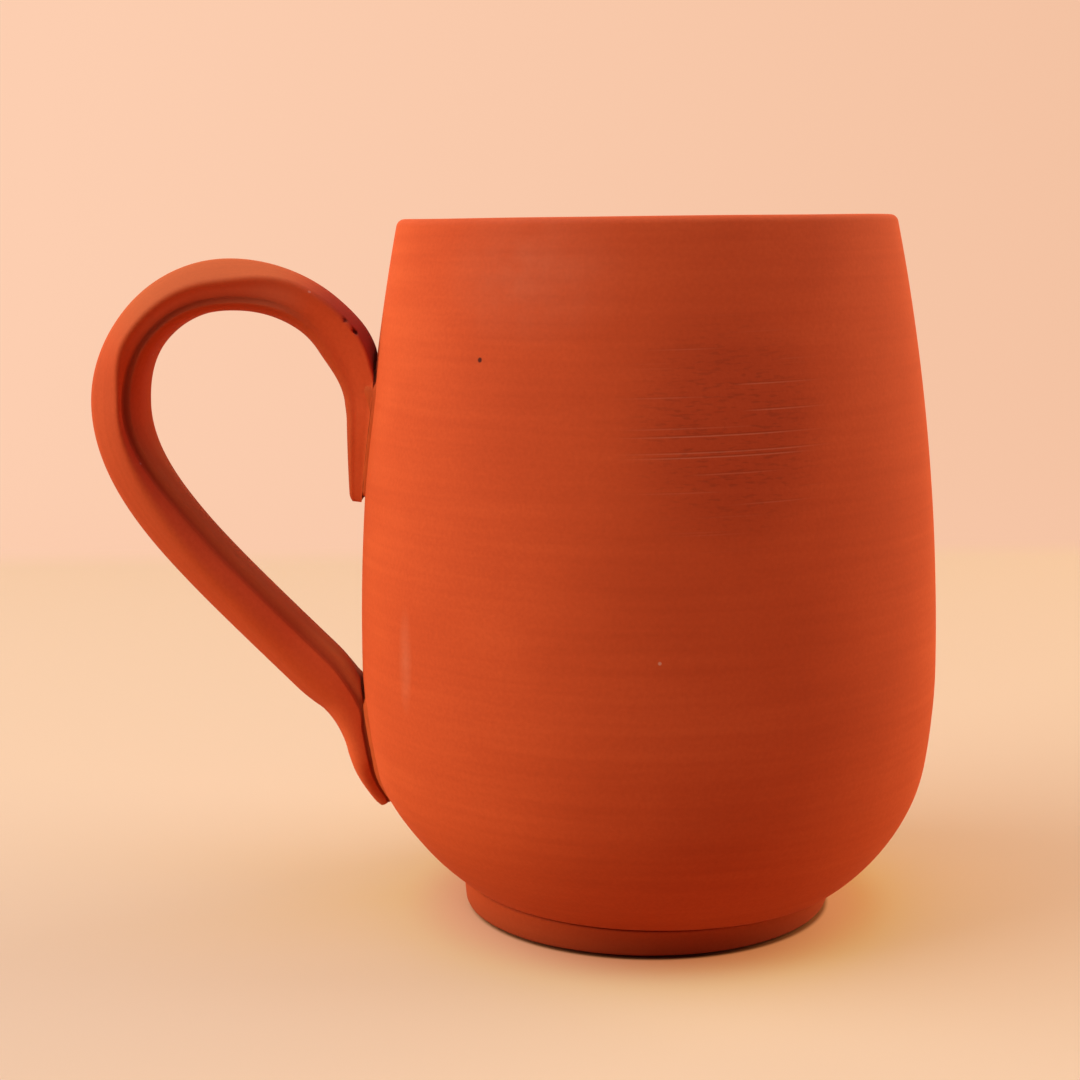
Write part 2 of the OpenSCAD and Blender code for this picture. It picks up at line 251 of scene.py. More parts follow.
def clay_shader(tree, colour, grain, relief, layers=()):
    """Matte fired clay: tints laid over its colour by their shares, a coarse relief and a fine grain."""
    for share, tint in layers:
        over = {0: share, 6: colour, 7: linear(tint)}
        colour = add(tree, "ShaderNodeMix", over, data_type="RGBA").outputs[2]
    coarse = {"Height": relief, "Distance": STREAK_RELIEF_MM * MM, "Strength": 1.0}
    coarse = add(tree, "ShaderNodeBump", coarse).outputs[0]
    fine = {"Height": grain, "Distance": GRAIN_RELIEF_MM * MM, "Strength": 0.6, "Normal": coarse}
    fine = add(tree, "ShaderNodeBump", fine).outputs[0]
    shader = add(tree, "ShaderNodeBsdfPrincipled", {"Base Color": colour, "Normal": fine})
    shader.inputs["Roughness"].default_value = 0.88
    shader.inputs["Diffuse Roughness"].default_value = 0.6
    shader.inputs["IOR"].default_value = 1.5
    shader.inputs["Specular IOR Level"].default_value = 0.25
    add(tree, "ShaderNodeOutputMaterial", {"Surface": shader.outputs[0]})


def empty_material(name):
    """A material with a bare node tree."""
    made = bpy.data.materials.new(name)
    made.use_nodes = True
    made.node_tree.nodes.clear()
    return made


def round_the_pot(tree):
    """Streak direction of the wheel: long round the pot, short up the wall."""
    place = add(tree, "ShaderNodeTexCoord").outputs["Object"]
    long_way = 1 / (STREAK_LONG_MM * MM)
    scale = (long_way, long_way, 1 / (STREAK_MM * MM))
    return add(tree, "ShaderNodeVectorMath", {0: place, 1: scale}, operation="MULTIPLY").outputs[0]


print(f"grain drawn at {GRAIN_MM} mm, streaks {STREAK_MM} mm high and {STREAK_LONG_MM:.0f} mm long")

# %% Clay of the foot
# Share of painted shade on the foot, at the table and at the top of the ring.
TABLE_SHADE = (0.45, 0.1)


def turned_terracotta():
    """Wheel-turned clay of the foot, with painted shade that darkens it towards the table."""
    made = empty_material("turned_terracotta")
    tree = made.node_tree
    colour, grain, streak = clay_base(tree, round_the_pot(tree))
    place = add(tree, "ShaderNodeTexCoord").outputs["Object"]
    up = add(tree, "ShaderNodeSeparateXYZ", {0: place}).outputs["Z"]
    # Painted shade: the foot gets darker towards the table.
    brown_shade = {0: up, 1: 0.0, 2: FOOT_TOP_Z * MM, 3: TABLE_SHADE[0], 4: TABLE_SHADE[1]}
    brown_shade = add(tree, "ShaderNodeMapRange", brown_shade).outputs[0]
    clay_shader(tree, colour, grain, streak, [(brown_shade, CLAY_PIT)])
    return made


TURNED = turned_terracotta()
print("material:", TURNED.name, "with", len(TURNED.node_tree.nodes), "nodes")

# %% [markdown]
# ## Marks on the thrown wall
# A hand-made wall is never blank. On the shaded front a patch of the wall was scored while it dried: the
# clay is redder and its grit shows there, and the red tint is partly painted shade that deepens the wall
# where it is darkest. It is crossed by thin pale scratches that rise a little round the pot, each with a
# painted shadow just above it. There are one pinhole, painted dark as shade in a hole, one white speck of
# lime, a smear of dust near the handle and a cloud of dust under the rim. Each mark is placed by its angle
# round the wall and its height, and is drawn by the distance from that place, so it stays where it is from
# every side. The patch and the smears are ovals with a half width and a half height, and the spots have a
# radius and the soft share of it.

# %% Marks and their places
FRONT = math.radians(-90)
PATCH = (FRONT + math.radians(12.5), 73.5, 14.0, 15.0)
PATCH_FADE = (1.15, 0.35)
PATCH_RED_SHADE = "#a8300f"
PATCH_TINT = 0.3
SCRATCH_SPACING_MM = 1.6
SCRATCH_HALF_W = 0.07
SCRATCH_SOFT = (1.6, 0.6)
SCRATCH_SLOPE = 0.018
SCRATCH_BREAK_MM = 18.0
SCRATCH_KEPT = (0.45, 0.6)
SCRATCH_PALE = 0.32
SCRATCH_SHADOW_ABOVE = 0.16
GRIT_MM = 0.4
GRIT_LONG_MM = 1.6
GRIT_FROM = (0.52, 0.7)
GRIT_AND_SHADOW_DARK = 0.2
PINHOLE = (FRONT + math.radians(-36.8), 82.1, 0.42, 0.5)
LIME_SPECK = (FRONT + math.radians(-0.9), 44.7, 0.3, 0.6)
LIME = "#e8a683"
SMEARS = (
    (FRONT + math.radians(-54.5), 41.5, 1.8, 8.0, 0.3),
    (FRONT + math.radians(-27), 93.0, 15.0, 10.0, 0.2),
)
SMEAR_PATCH_MM = 3.0
SMEAR_FROM = (0.3, 0.7)


def on_wall(angle, z):
    """Point of the outside at an angle round the axis and a height, in metres."""
    r = float(wall(z))
    return (r * math.cos(angle) * MM, r * math.sin(angle) * MM, z * MM)


def spot_mask(tree, place, angle, z, size, soft):
    """1 inside a round spot on the wall and 0 outside it, with the given soft share of its radius."""
    far = add(tree, "ShaderNodeVectorMath", {0: place, 1: on_wall(angle, z)}, operation="DISTANCE")
    reach = {0: far.outputs["Value"], 1: size * MM, 2: size * (1 - soft) * MM}
    return add(tree, "ShaderNodeMapRange", reach, interpolation_type="SMOOTHSTEP").outputs[0]


def from_oval(tree, place, angle, z, half_w, half_h):
    """Distance from the middle of an oval on the wall, counted in its half widths and half heights."""
    away = {0: place, 1: on_wall(angle, z)}
    away = add(tree, "ShaderNodeVectorMath", away, operation="SUBTRACT").outputs[0]
    halves = (1 / (half_w * MM), 1 / (half_w * MM), 1 / (half_h * MM))
    away = add(tree, "ShaderNodeVectorMath", {0: away, 1: halves}, operation="MULTIPLY").outputs[0]
    return add(tree, "ShaderNodeVectorMath", {0: away}, operation="LENGTH").outputs["Value"]


print("middle of the scored patch, m:", [round(v, 4) for v in on_wall(*PATCH[:2])])

# %% The scored patch


def scored_patch(tree, place):
    """Shares of the scored patch, of its scratches and of the painted shadow above them, and of its grit."""
    patch = {0: from_oval(tree, place, *PATCH), 1: PATCH_FADE[0], 2: PATCH_FADE[1]}
    patch = add(tree, "ShaderNodeMapRange", patch, interpolation_type="SMOOTHSTEP").outputs[0]
    in_patch = []
    for long_mm, high_mm, (least, most) in (
        (SCRATCH_BREAK_MM, SCRATCH_SPACING_MM, SCRATCH_KEPT),
        (GRIT_LONG_MM, GRIT_MM, GRIT_FROM),
    ):
        scale = (1 / (long_mm * MM), 1 / (long_mm * MM), 1 / (high_mm * MM))
        drawn = add(tree, "ShaderNodeVectorMath", {0: place, 1: scale}, operation="MULTIPLY").outputs[0]
        drawn = add(tree, "ShaderNodeTexNoise", {"Vector": drawn, "Scale": 1.0, "Detail": 1.0}).outputs[0]
        drawn = add(tree, "ShaderNodeMapRange", {0: drawn, 1: least, 2: most}).outputs[0]
        drawn = add(tree, "ShaderNodeMath", {0: drawn, 1: patch}, operation="MULTIPLY").outputs[0]
        in_patch.append(drawn)
    scored, grit = in_patch

    at = add(tree, "ShaderNodeSeparateXYZ", {0: place}).outputs
    slope = add(tree, "ShaderNodeMath", {0: at["X"], 1: -SCRATCH_SLOPE}, operation="MULTIPLY").outputs[0]
    level = add(tree, "ShaderNodeMath", {0: at["Z"], 1: slope}, operation="ADD").outputs[0]
    thin = SCRATCH_HALF_W / SCRATCH_SPACING_MM
    lines = []
    # The second line, a little above each scratch, is a painted shadow along it.
    for below in (0.0, SCRATCH_SHADOW_ABOVE):
        line = add(tree, "ShaderNodeMath", {0: level, 1: -below * MM}, operation="ADD").outputs[0]
        line = {"W": line, "Scale": 1 / (SCRATCH_SPACING_MM * MM)}
        line = add(tree, "ShaderNodeTexVoronoi", line, voronoi_dimensions="1D").outputs["Distance"]
        line = {0: line, 1: SCRATCH_SOFT[0] * thin, 2: SCRATCH_SOFT[1] * thin}
        line = add(tree, "ShaderNodeMapRange", line).outputs[0]
        lines.append(add(tree, "ShaderNodeMath", {0: line, 1: scored}, operation="MULTIPLY").outputs[0])
    scratch, edge = lines
    return patch, scratch, edge, grit


print(f"scratches about {SCRATCH_SPACING_MM} mm apart and {2 * SCRATCH_HALF_W} mm wide")

# %% Clay of the body, with its marks


def thrown_terracotta():
    """Thrown clay with its marks: scored patch, pinhole, lime speck, dust smears, and painted shade in them.
    """
    made = empty_material("thrown_terracotta")
    tree = made.node_tree
    place = add(tree, "ShaderNodeTexCoord").outputs["Object"]
    colour, grain, streak = clay_base(tree, round_the_pot(tree))
    patch, scratch, edge, grit = scored_patch(tree, place)
    # The dark tint holds the real grit and the painted shadow of the scratches.
    dark = add(tree, "ShaderNodeMath", {0: edge, 1: grit}, operation="MAXIMUM").outputs[0]
    # The pinhole is painted dark as well as sunk: painted shade in the hole.
    pinhole = spot_mask(tree, place, *PINHOLE)

    layers = []
    # The patch's red tint is partly painted shade where the wall is darkest.
    for mask, strength, tint in (
        (patch, PATCH_TINT, PATCH_RED_SHADE),
        (dark, GRIT_AND_SHADOW_DARK, CLAY_PIT),
        (scratch, SCRATCH_PALE, CLAY_DUST),
    ):
        share = add(tree, "ShaderNodeMath", {0: mask, 1: strength}, operation="MULTIPLY").outputs[0]
        layers.append((share, tint))
    blotch = {"Vector": place, "Scale": 1 / (SMEAR_PATCH_MM * MM)}
    blotch = add(tree, "ShaderNodeTexNoise", blotch).outputs[0]
    for *oval, pale in SMEARS:
        smear = {0: from_oval(tree, place, *oval), 1: 1.0, 2: 0.0}
        smear = add(tree, "ShaderNodeMapRange", smear).outputs[0]
        dust_and_lift = {0: blotch, 1: SMEAR_FROM[0], 2: SMEAR_FROM[1], 3: pale / 2, 4: pale}
        dust_and_lift = add(tree, "ShaderNodeMapRange", dust_and_lift).outputs[0]
        share = add(tree, "ShaderNodeMath", {0: smear, 1: dust_and_lift}, operation="MULTIPLY").outputs[0]
        layers.append((share, CLAY_DUST))
    layers += [(spot_mask(tree, place, *LIME_SPECK), LIME), (pinhole, CLAY_PIT)]

    relief = streak
    for sunk in (scratch, pinhole, grit):
        relief = add(tree, "ShaderNodeMath", {0: relief, 1: sunk}, operation="SUBTRACT").outputs[0]
    clay_shader(tree, colour, grain, relief, layers)
    return made


THROWN = thrown_terracotta()
print("material:", THROWN.name, "with", len(THROWN.node_tree.nodes), "nodes")

# %% [markdown]
# ## A wheel made of nodes
# Throwing follows a rule: an outline is turned round an axis, while fingers leave lines and a spiral and
# the soft wall wobbles. That makes it a good shape for Geometry Nodes. The tree takes the outline as a
# row of points and rolls a grid round the axis: each row of the grid is one outline point, each column
# one direction. Then it pushes the clay along its own normal. The wobble is noise read at the place
# itself, so it closes on itself round the pot. The lines are noise stretched round the pot, and the
# spiral on the inside is a sine of the way along the outline plus the turn.
# A Screw modifier could turn the outline too, but it can't wobble the wall or tell outside from inside.

# %% Rolling the outline
MERGE_MM = 0.002


def roll_outline(tree, given, place):
    """Grid rolled round the axis through the outline's points, and the two values that they carry."""
    rows = add(tree, "GeometryNodeAttributeDomainSize", {0: given["Outline"]}, component="MESH").outputs[0]
    columns = add(tree, "ShaderNodeMath", {0: given["Steps"], 1: 1.0}, operation="ADD").outputs[0]
    last = add(tree, "ShaderNodeMath", {0: rows, 1: 1.0}, operation="SUBTRACT").outputs[0]
    grid = {"Size X": 1.0, "Size Y": 1.0, "Vertices X": columns, "Vertices Y": rows}
    grid = add(tree, "GeometryNodeMeshGrid", grid).outputs[0]

    flat = add(tree, "ShaderNodeSeparateXYZ", {0: place}).outputs
    up = add(tree, "ShaderNodeMath", {0: flat["Y"], 1: 0.5}, operation="ADD").outputs[0]
    exact = add(tree, "ShaderNodeMath", {0: up, 1: last}, operation="MULTIPLY").outputs[0]
    row = add(tree, "ShaderNodeMath", {0: exact}, operation="ROUND").outputs[0]
    carried = {}
    for name in ("inside", "along"):
        value = add(tree, "GeometryNodeInputNamedAttribute", {"Name": name}, data_type="FLOAT").outputs[0]
        sampled = {"Geometry": given["Outline"], "Value": value, "Index": row}
        sampled = add(tree, "GeometryNodeSampleIndex", sampled, data_type="FLOAT").outputs[0]
        stored = {"Geometry": grid, "Name": name, "Value": sampled}
        grid = add(tree, "GeometryNodeStoreNamedAttribute", stored, data_type="FLOAT").outputs[0]
        carried[name] = value
    point = {"Geometry": given["Outline"], "Value": place, "Index": row}
    point = add(tree, "GeometryNodeSampleIndex", point, data_type="FLOAT_VECTOR").outputs[0]
    turn = add(tree, "ShaderNodeMath", {0: flat["X"], 1: 2 * math.pi}, operation="MULTIPLY").outputs[0]
    rolled = {"Vector": point, "Angle": turn}
    rolled = add(tree, "ShaderNodeVectorRotate", rolled, rotation_type="Z_AXIS").outputs[0]
    rolled = add(tree, "GeometryNodeSetPosition", {"Geometry": grid, "Position": rolled}).outputs[0]
    closed = {"Geometry": rolled, "Distance": MERGE_MM * MM}
    closed = add(tree, "GeometryNodeMergeByDistance", closed).outputs[0]
    return closed, carried["inside"], carried["along"]


print(f"points of the seam closer than {MERGE_MM} mm become one")

# %% Pushing the clay


def push_out(tree, given, place, inside, along):
    """Offset of each point along its normal: wobble and lines, with the spiral added inside."""
    here = add(tree, "ShaderNodeSeparateXYZ", {0: place}).outputs
    soft = add(tree, "ShaderNodeMath", {0: 1.0, 1: given["Wobble Size"]}, operation="DIVIDE").outputs[0]
    level = add(tree, "ShaderNodeMath", {0: along, 1: given["Line Spacing"]}, operation="DIVIDE").outputs[0]
    beside = add(tree, "ShaderNodeCombineXYZ", {"X": here["X"], "Y": here["Y"]}).outputs[0]
    slowly = {0: beside, "Scale": 1 / (STREAK_LONG_MM * MM)}
    slowly = add(tree, "ShaderNodeVectorMath", slowly, operation="SCALE").outputs[0]
    risen = add(tree, "ShaderNodeCombineXYZ", {"Z": level}).outputs[0]
    banded = add(tree, "ShaderNodeVectorMath", {0: slowly, 1: risen}, operation="ADD").outputs[0]
    sway = 0.0
    for pattern, depth in (
        ({"Vector": place, "Scale": soft, "Detail": 1.0}, "Wobble"),
        ({"Vector": banded, "Scale": 1.0, "Detail": 2.0}, "Line Depth"),
    ):
        noisy = {"W": given["Seed"], **pattern}
        noisy = add(tree, "ShaderNodeTexNoise", noisy, noise_dimensions="4D").outputs[0]
        noisy = add(tree, "ShaderNodeMapRange", {0: noisy, 3: -1.0, 4: 1.0}).outputs[0]
        noisy = add(tree, "ShaderNodeMath", {0: noisy, 1: given[depth]}, operation="MULTIPLY").outputs[0]
        sway = add(tree, "ShaderNodeMath", {0: sway, 1: noisy}, operation="ADD").outputs[0]

    angle = add(tree, "ShaderNodeMath", {0: here["Y"], 1: here["X"]}, operation="ARCTAN2").outputs[0]
    push = along
    for operation, by in (
        ("DIVIDE", given["Spiral Pitch"]),
        ("MULTIPLY", 2 * math.pi),
        ("ADD", angle),
        ("SINE", 0.0),
        ("MULTIPLY", given["Spiral Depth"]),
        ("MULTIPLY", inside),
        ("ADD", sway),
    ):
        push = add(tree, "ShaderNodeMath", {0: push, 1: by}, operation=operation).outputs[0]

    normal = add(tree, "GeometryNodeInputNormal").outputs[0]
    return add(tree, "ShaderNodeVectorMath", {0: normal, "Scale": push}, operation="SCALE").outputs[0]


print(f"the lines change over {STREAK_LONG_MM:.0f} mm round the pot")

# %% The lathe tree
WHEEL_SIZES = ("Wobble", "Wobble Size", "Line Depth", "Line Spacing", "Spiral Depth", "Spiral Pitch", "Seed")


def lathe_tree():
    """Geometry Nodes tree that turns an outline into a hand-thrown piece."""
    tree = bpy.data.node_groups.new("clay_wheel", "GeometryNodeTree")
    face = tree.interface
    face.new_socket("Outline", in_out="INPUT", socket_type="NodeSocketGeometry")
    face.new_socket("Steps", in_out="INPUT", socket_type="NodeSocketInt")
    for size in WHEEL_SIZES:
        face.new_socket(size, in_out="INPUT", socket_type="NodeSocketFloat")
    face.new_socket("Clay", in_out="INPUT", socket_type="NodeSocketMaterial")
    face.new_socket("Piece", in_out="OUTPUT", socket_type="NodeSocketGeometry")
    given = add(tree, "NodeGroupInput").outputs
    place = add(tree, "GeometryNodeInputPosition").outputs[0]
    closed, inside, along = roll_outline(tree, given, place)
    offset = push_out(tree, given, place, inside, along)
    shaped = add(tree, "GeometryNodeSetPosition", {"Geometry": closed, "Offset": offset}).outputs[0]
    smoothed = add(tree, "GeometryNodeSetShadeSmooth", {0: shaped}).outputs[0]
    real = add(tree, "GeometryNodeRealizeInstances", {0: smoothed}).outputs[0]
    clad = add(tree, "GeometryNodeSetMaterial", {"Geometry": real, "Material": given["Clay"]}).outputs[0]
    add(tree, "NodeGroupOutput", {0: clad})
    return tree


WHEEL = lathe_tree()
print("lathe tree with", len(WHEEL.nodes), "nodes")

# %% [markdown]
# ## From the tree to a plain mesh
# The outline becomes a small mesh of points that carries two values for each point: how far along the
# outline it is, and how much of the inner spiral it gets. The modifier's inputs are set by the sockets' own
# identifiers before the tree first runs. Then the evaluated result is copied to a plain mesh, and the
# outline object with its modifier goes away.

# %% Throwing a piece on the wheel
ROUND_STEPS = 264


def placed(name, data):
    """A new object with the given data, linked into the scene."""
    made = bpy.data.objects.new(name, data)
    bpy.context.collection.objects.link(made)
    return made


def throw(name, outline, inside, clay, seed, wobble, lines, spiral=(0.0, 5.0)):
    """Plain piece turned from an outline. Wobble, lines and spiral each have a depth and a size, in mm."""
    steps_along = np.linalg.norm(np.diff(outline, axis=0), axis=1)
    along = np.concatenate([[0.0], np.cumsum(steps_along)])
    points = np.column_stack([outline[:, 0], np.zeros(len(outline)), outline[:, 1]]) * MM
    mesh = bpy.data.meshes.new(name + "_outline")
    mesh.from_pydata(points.tolist(), [], [])
    for label, values in (("inside", inside), ("along", along * MM)):
        mesh.attributes.new(label, "FLOAT", "POINT").data.foreach_set("value", values)
    turned = placed(name + "_outline", mesh)
    wheel = turned.modifiers.new("wheel", "NODES")
    wheel.node_group = WHEEL
    sizes = [size * MM for size in (*wobble, *lines, *spiral)]
    given = dict(zip(WHEEL_SIZES, [*sizes, seed]), Steps=ROUND_STEPS, Clay=clay)
    for item in WHEEL.interface.items_tree:
        if item.name in given:
            wheel[item.identifier] = given[item.name]
    done = turned.evaluated_get(bpy.context.evaluated_depsgraph_get())
    plain = bpy.data.meshes.new_from_object(done)
    plain.name = name
    bpy.data.objects.remove(turned)
    return placed(name, plain)


def arc(centre, radius, start, end, spacing):
    """Points along an arc about the given spacing apart, with both ends."""
    steps = max(2, math.ceil(abs(end - start) * radius / spacing))
    turn = np.linspace(start, end, steps + 1)
    return np.column_stack([centre[0] + radius * np.cos(turn), centre[1] + radius * np.sin(turn)])


def straight(start, end, spacing):
    """Points along a line about the given spacing apart, without its last point."""
    steps = max(1, math.ceil(math.dist(start, end) / spacing))
    return np.linspace(start, end, steps + 1)[:-1]


def coords_mm(piece):
    """A piece's vertices as an array, in millimetres."""
    flat = np.empty(len(piece.data.vertices) * 3)
    piece.data.vertices.foreach_get("co", flat)
    return flat.reshape(-1, 3) / MM


def move_to(piece, points):
    """Puts a piece's vertices at the given places, in millimetres."""
    piece.data.vertices.foreach_set("co", (points * MM).ravel())
    piece.data.update()


def smooth(t):
    """Eased step from 0 to 1."""
    t = np.clip(t, 0.0, 1.0)
    return t * t * (3 - 2 * t)


print("inputs of the wheel:", [item.name for item in WHEEL.interface.items_tree if item.in_out == "INPUT"])

# %% [markdown]
# ## What the hand did to the wheel's work
# The real cup isn't quite round. Over the foot, on the handle's side, the wall was pushed in by about a
# millimetre, on the other side it swells a little, and the foot was stuck on out of level and off the
# middle. One function makes these changes at a place, and every piece of the cup goes through it, so
# pieces that touch stay together.

# %% Hand-made unevenness
PUSHED_IN = 1.1
PUSHED_TOP_Z = 21.0
PUSHED_FULL_Z = 11.0
FOOT_TILT = math.tan(math.radians(1.0))
TILT_GONE_Z = 16.0
FOOT_OFF = -0.4
SWELL_OUT = 0.4
SWELL_Z = (4.0, 15.0, 30.0)


def handled(points):
    """Moves points of the turned cup to where the hand left them."""
    x, y, z = points.T
    out = np.maximum(np.hypot(x, y), 1e-6)
    left, right = (np.clip(side * x / out, 0, 1) ** 2 for side in (-1, 1))
    pushed = smooth((PUSHED_TOP_Z - z) / (PUSHED_TOP_Z - PUSHED_FULL_Z)) * smooth(z / FOOT_H)
    low, most, high = SWELL_Z
    swelled = smooth((z - low) / (most - low)) * smooth((high - z) / (high - most))
    tilted = np.clip(z / FOOT_H, 0, 1) * smooth((TILT_GONE_Z - z) / (TILT_GONE_Z - FOOT_H))
    shifted = smooth((FOOT_H - z) / SLIP_T)
    across = x + PUSHED_IN * left * pushed + SWELL_OUT * right * swelled + FOOT_OFF * shifted
    return np.column_stack([across, y, z - FOOT_TILT * x * tilted])


base_edge = np.array([[-BASE_R, 0.0, FOOT_H], [BASE_R, 0.0, FOOT_H]])
print("both sides of the base move by, mm:", (handled(base_edge) - base_edge).round(2).tolist())

# %% [markdown]
# ## The thrown body
# The outline starts under the middle of the base, runs out to its edge, up the wall, over the lip and
# down the inside to the middle of the floor, so that all faces look outwards from the clay. Points lie
# close together on the lip, where the curve is tight, and further apart on the wall.

# %% Outline of the body
WALL_STEP = 0.85
LIP_STEP = 0.22
BASE_STEP = 1.2
CORNER_STEP = 0.15

lip_out_z = CUP_H - LIP_OUT_R
lip_out_c = (arc_out(SIDE_C, SIDE_R - LIP_OUT_R, lip_out_z), lip_out_z)
lip_out_a = math.asin((lip_out_z - BELLY_Z) / (SIDE_R - LIP_OUT_R))
lip_in_z = CUP_H - LIP_IN_R
lip_in_c = (arc_out(BORE_SIDE_C, BORE_SIDE_R + LIP_IN_R, lip_in_z), lip_in_z)
lip_in_a = math.asin((lip_in_z - BELLY_Z) / (BORE_SIDE_R + LIP_IN_R))

outside = np.vstack(
    [
        straight((0, FOOT_H), (BASE_R - CORNER_STEP, FOOT_H), BASE_STEP),
        [(BASE_R - CORNER_STEP, FOOT_H)],
        arc(HIP_C, HIP_R, -HIP_END + CORNER_STEP / HIP_R, -HIP_ANGLE, WALL_STEP)[:-1],
        arc(BELLY_C, BELLY_ARC_R, -HIP_ANGLE, 0, WALL_STEP)[:-1],
        arc(SIDE_C, SIDE_R, 0, lip_out_a, WALL_STEP)[:-1],
        arc(lip_out_c, LIP_OUT_R, lip_out_a, math.pi / 2, LIP_STEP)[:-1],
    ]
)
inside = np.vstack(
    [
        straight((lip_out_c[0], CUP_H), (lip_in_c[0], CUP_H), LIP_STEP),
        arc(lip_in_c, LIP_IN_R, math.pi / 2, math.pi + lip_in_a, LIP_STEP)[:-1],
        arc(BORE_SIDE_C, BORE_SIDE_R, lip_in_a, 0, WALL_STEP)[:-1],
        arc(BORE_ARC_C, BORE_ARC_R, 0, -HIP_ANGLE, WALL_STEP)[:-1],
        arc(BOWL_C, BOWL_R, -HIP_ANGLE, -math.pi / 2, WALL_STEP)[:-1],
        straight((BOWL_C[0], FLOOR_Z), (0, FLOOR_Z), BASE_STEP),
        [(0, FLOOR_Z)],
    ]
)
body_outline = np.vstack([outside, inside])
print("outline of the body:", len(outside), "points outside and", len(inside), "inside")

# %% Throw the body
SPIRAL_FADE = 6.0
spiral_fade = np.minimum(smooth((CUP_H - inside[:, 1]) / SPIRAL_FADE), smooth(inside[:, 0] / SPIRAL_FADE))
body_inside = np.concatenate([np.zeros(len(outside)), spiral_fade])
body = throw(
    "thrown_body",
    body_outline,
    body_inside,
    THROWN,
    seed=3.0,
    wobble=(0.1, 30.0),
    lines=(0.005, 2.4),
    spiral=(0.16, 6.5),
)
move_to(body, handled(coords_mm(body)))
print("thrown body:", len(body.data.polygons), "faces")

# %% [markdown]
# ## The turned foot
# The foot is a low ring, narrower at the table, with soft edges and a recess under the base. Its outer
# edge is bevelled off the table, which draws a thin dark line under the cup. The outline closes on
# itself, and the same tree turns it.

# %% Turn the foot
FOOT_STEP = 0.35
FOOT_LOW_R = FOOT_TOP_R - FOOT_TAPER
FOOT_RECESS_R = FOOT_LOW_R - FOOT_RING_W
foot_slope = math.atan2(FOOT_TAPER, FOOT_TOP_Z)
edge_in = FOOT_EDGE_R * (math.tan(math.pi / 4 + foot_slope / 2) - math.tan(foot_slope))
foot_outer_c = (FOOT_LOW_R - edge_in, FOOT_BEVEL_H + FOOT_EDGE_R)
foot_inner_c = (FOOT_RECESS_R + FOOT_EDGE_R, FOOT_EDGE_R)
foot_side_from = (
    foot_outer_c[0] + FOOT_EDGE_R * math.cos(foot_slope),
    foot_outer_c[1] - FOOT_EDGE_R * math.sin(foot_slope),
)
foot_outline = np.vstack(
    [
        arc(foot_inner_c, FOOT_EDGE_R, math.pi, 1.5 * math.pi, FOOT_STEP)[:-1],
        straight((foot_inner_c[0], 0), (FOOT_LOW_R - FOOT_BEVEL_W, 0), 2 * FOOT_STEP),
        straight((FOOT_LOW_R - FOOT_BEVEL_W, 0), (foot_outer_c[0], FOOT_BEVEL_H), 2 * FOOT_STEP),
        arc(foot_outer_c, FOOT_EDGE_R, 1.5 * math.pi, 2 * math.pi - foot_slope, FOOT_STEP)[:-1],
        straight(foot_side_from, (FOOT_TOP_R, FOOT_TOP_Z), FOOT_STEP),
        straight((FOOT_TOP_R, FOOT_TOP_Z), (FOOT_RECESS_R, FOOT_TOP_Z), BASE_STEP),
        straight((FOOT_RECESS_R, FOOT_TOP_Z), (FOOT_RECESS_R, FOOT_EDGE_R), 2 * FOOT_STEP),
        [(FOOT_RECESS_R, FOOT_EDGE_R)],
    ]
)
foot = throw(
    "turned_foot",
    foot_outline,
    np.zeros(len(foot_outline)),
    TURNED,
    seed=11.0,
    wobble=(0.08, 14.0),
    lines=(0.03, 1.2),
)
move_to(foot, handled(coords_mm(foot)))
print("turned foot:", len(foot.data.polygons), "faces")

# %% [markdown]
# ## The slip under the foot
# Slip squeezed out between base and foot dries as a thin, uneven ring in the crease. It is turned on the
# same wheel with a strong wobble, which makes its edge ragged. In places a finger wiped it flush, so the
# crease fades there: each place is an angle round the foot and a half width, in degrees.

# %% Slip
SLIP_DARK = "#c04e1c"
SLIP_PALE = "#da6024"
SLIP_LUMP_MM = 1.5


def joint_slip():
    """Slip dried in a joint: the same clay without sand, in small darker and paler lumps."""
    made = empty_material("joint_slip")
    tree = made.node_tree
    place = add(tree, "ShaderNodeTexCoord").outputs["Object"]
    lumps = {"Vector": place, "Scale": 1 / (SLIP_LUMP_MM * MM), "Detail": 3.0}
    lumps = add(tree, "ShaderNodeTexNoise", lumps).outputs[0]
    colour = add(tree, "ShaderNodeValToRGB", {0: lumps})
    colour.color_ramp.elements[0].color = linear(SLIP_DARK)
    colour.color_ramp.elements[1].color = linear(SLIP_PALE)
    clay_shader(tree, colour.outputs[0], lumps, lumps)
    return made


SLIP = joint_slip()
print("material:", SLIP.name, "with", len(SLIP.node_tree.nodes), "nodes")

# %% Seam of the foot
SEAM_IN = 0.7
SEAM_PROUD = 0.1
SEAM_WIPED = ((180.0, 40.0), (-10.0, 45.0), (95.0, 25.0))
WIPED_FADE = 14.0
slip_in_r = FOOT_RECESS_R + 2 * SEAM_IN
slip_out_r = FOOT_TOP_R - SEAM_IN
ring_mid_z = FOOT_TOP_Z + SLIP_T / 2
seam_outline = np.vstack(
    [
        straight((slip_in_r, FOOT_TOP_Z), (slip_out_r, FOOT_TOP_Z), BASE_STEP),
        arc((slip_out_r, ring_mid_z), SLIP_T / 2, -math.pi / 2, math.pi / 2, SLIP_T / 4)[:-1],
        straight((slip_out_r, FOOT_TOP_Z + SLIP_T), (slip_in_r, FOOT_TOP_Z + SLIP_T), BASE_STEP),
        [(slip_in_r, FOOT_TOP_Z + SLIP_T), (slip_in_r, FOOT_TOP_Z)],
    ]
)
foot_seam = throw(
    "foot_seam",
    seam_outline,
    np.zeros(len(seam_outline)),
    SLIP,
    seed=23.0,
    wobble=(0.15, 3.0),
    lines=(0.0, 1.0),
)
seam_points = coords_mm(foot_seam)
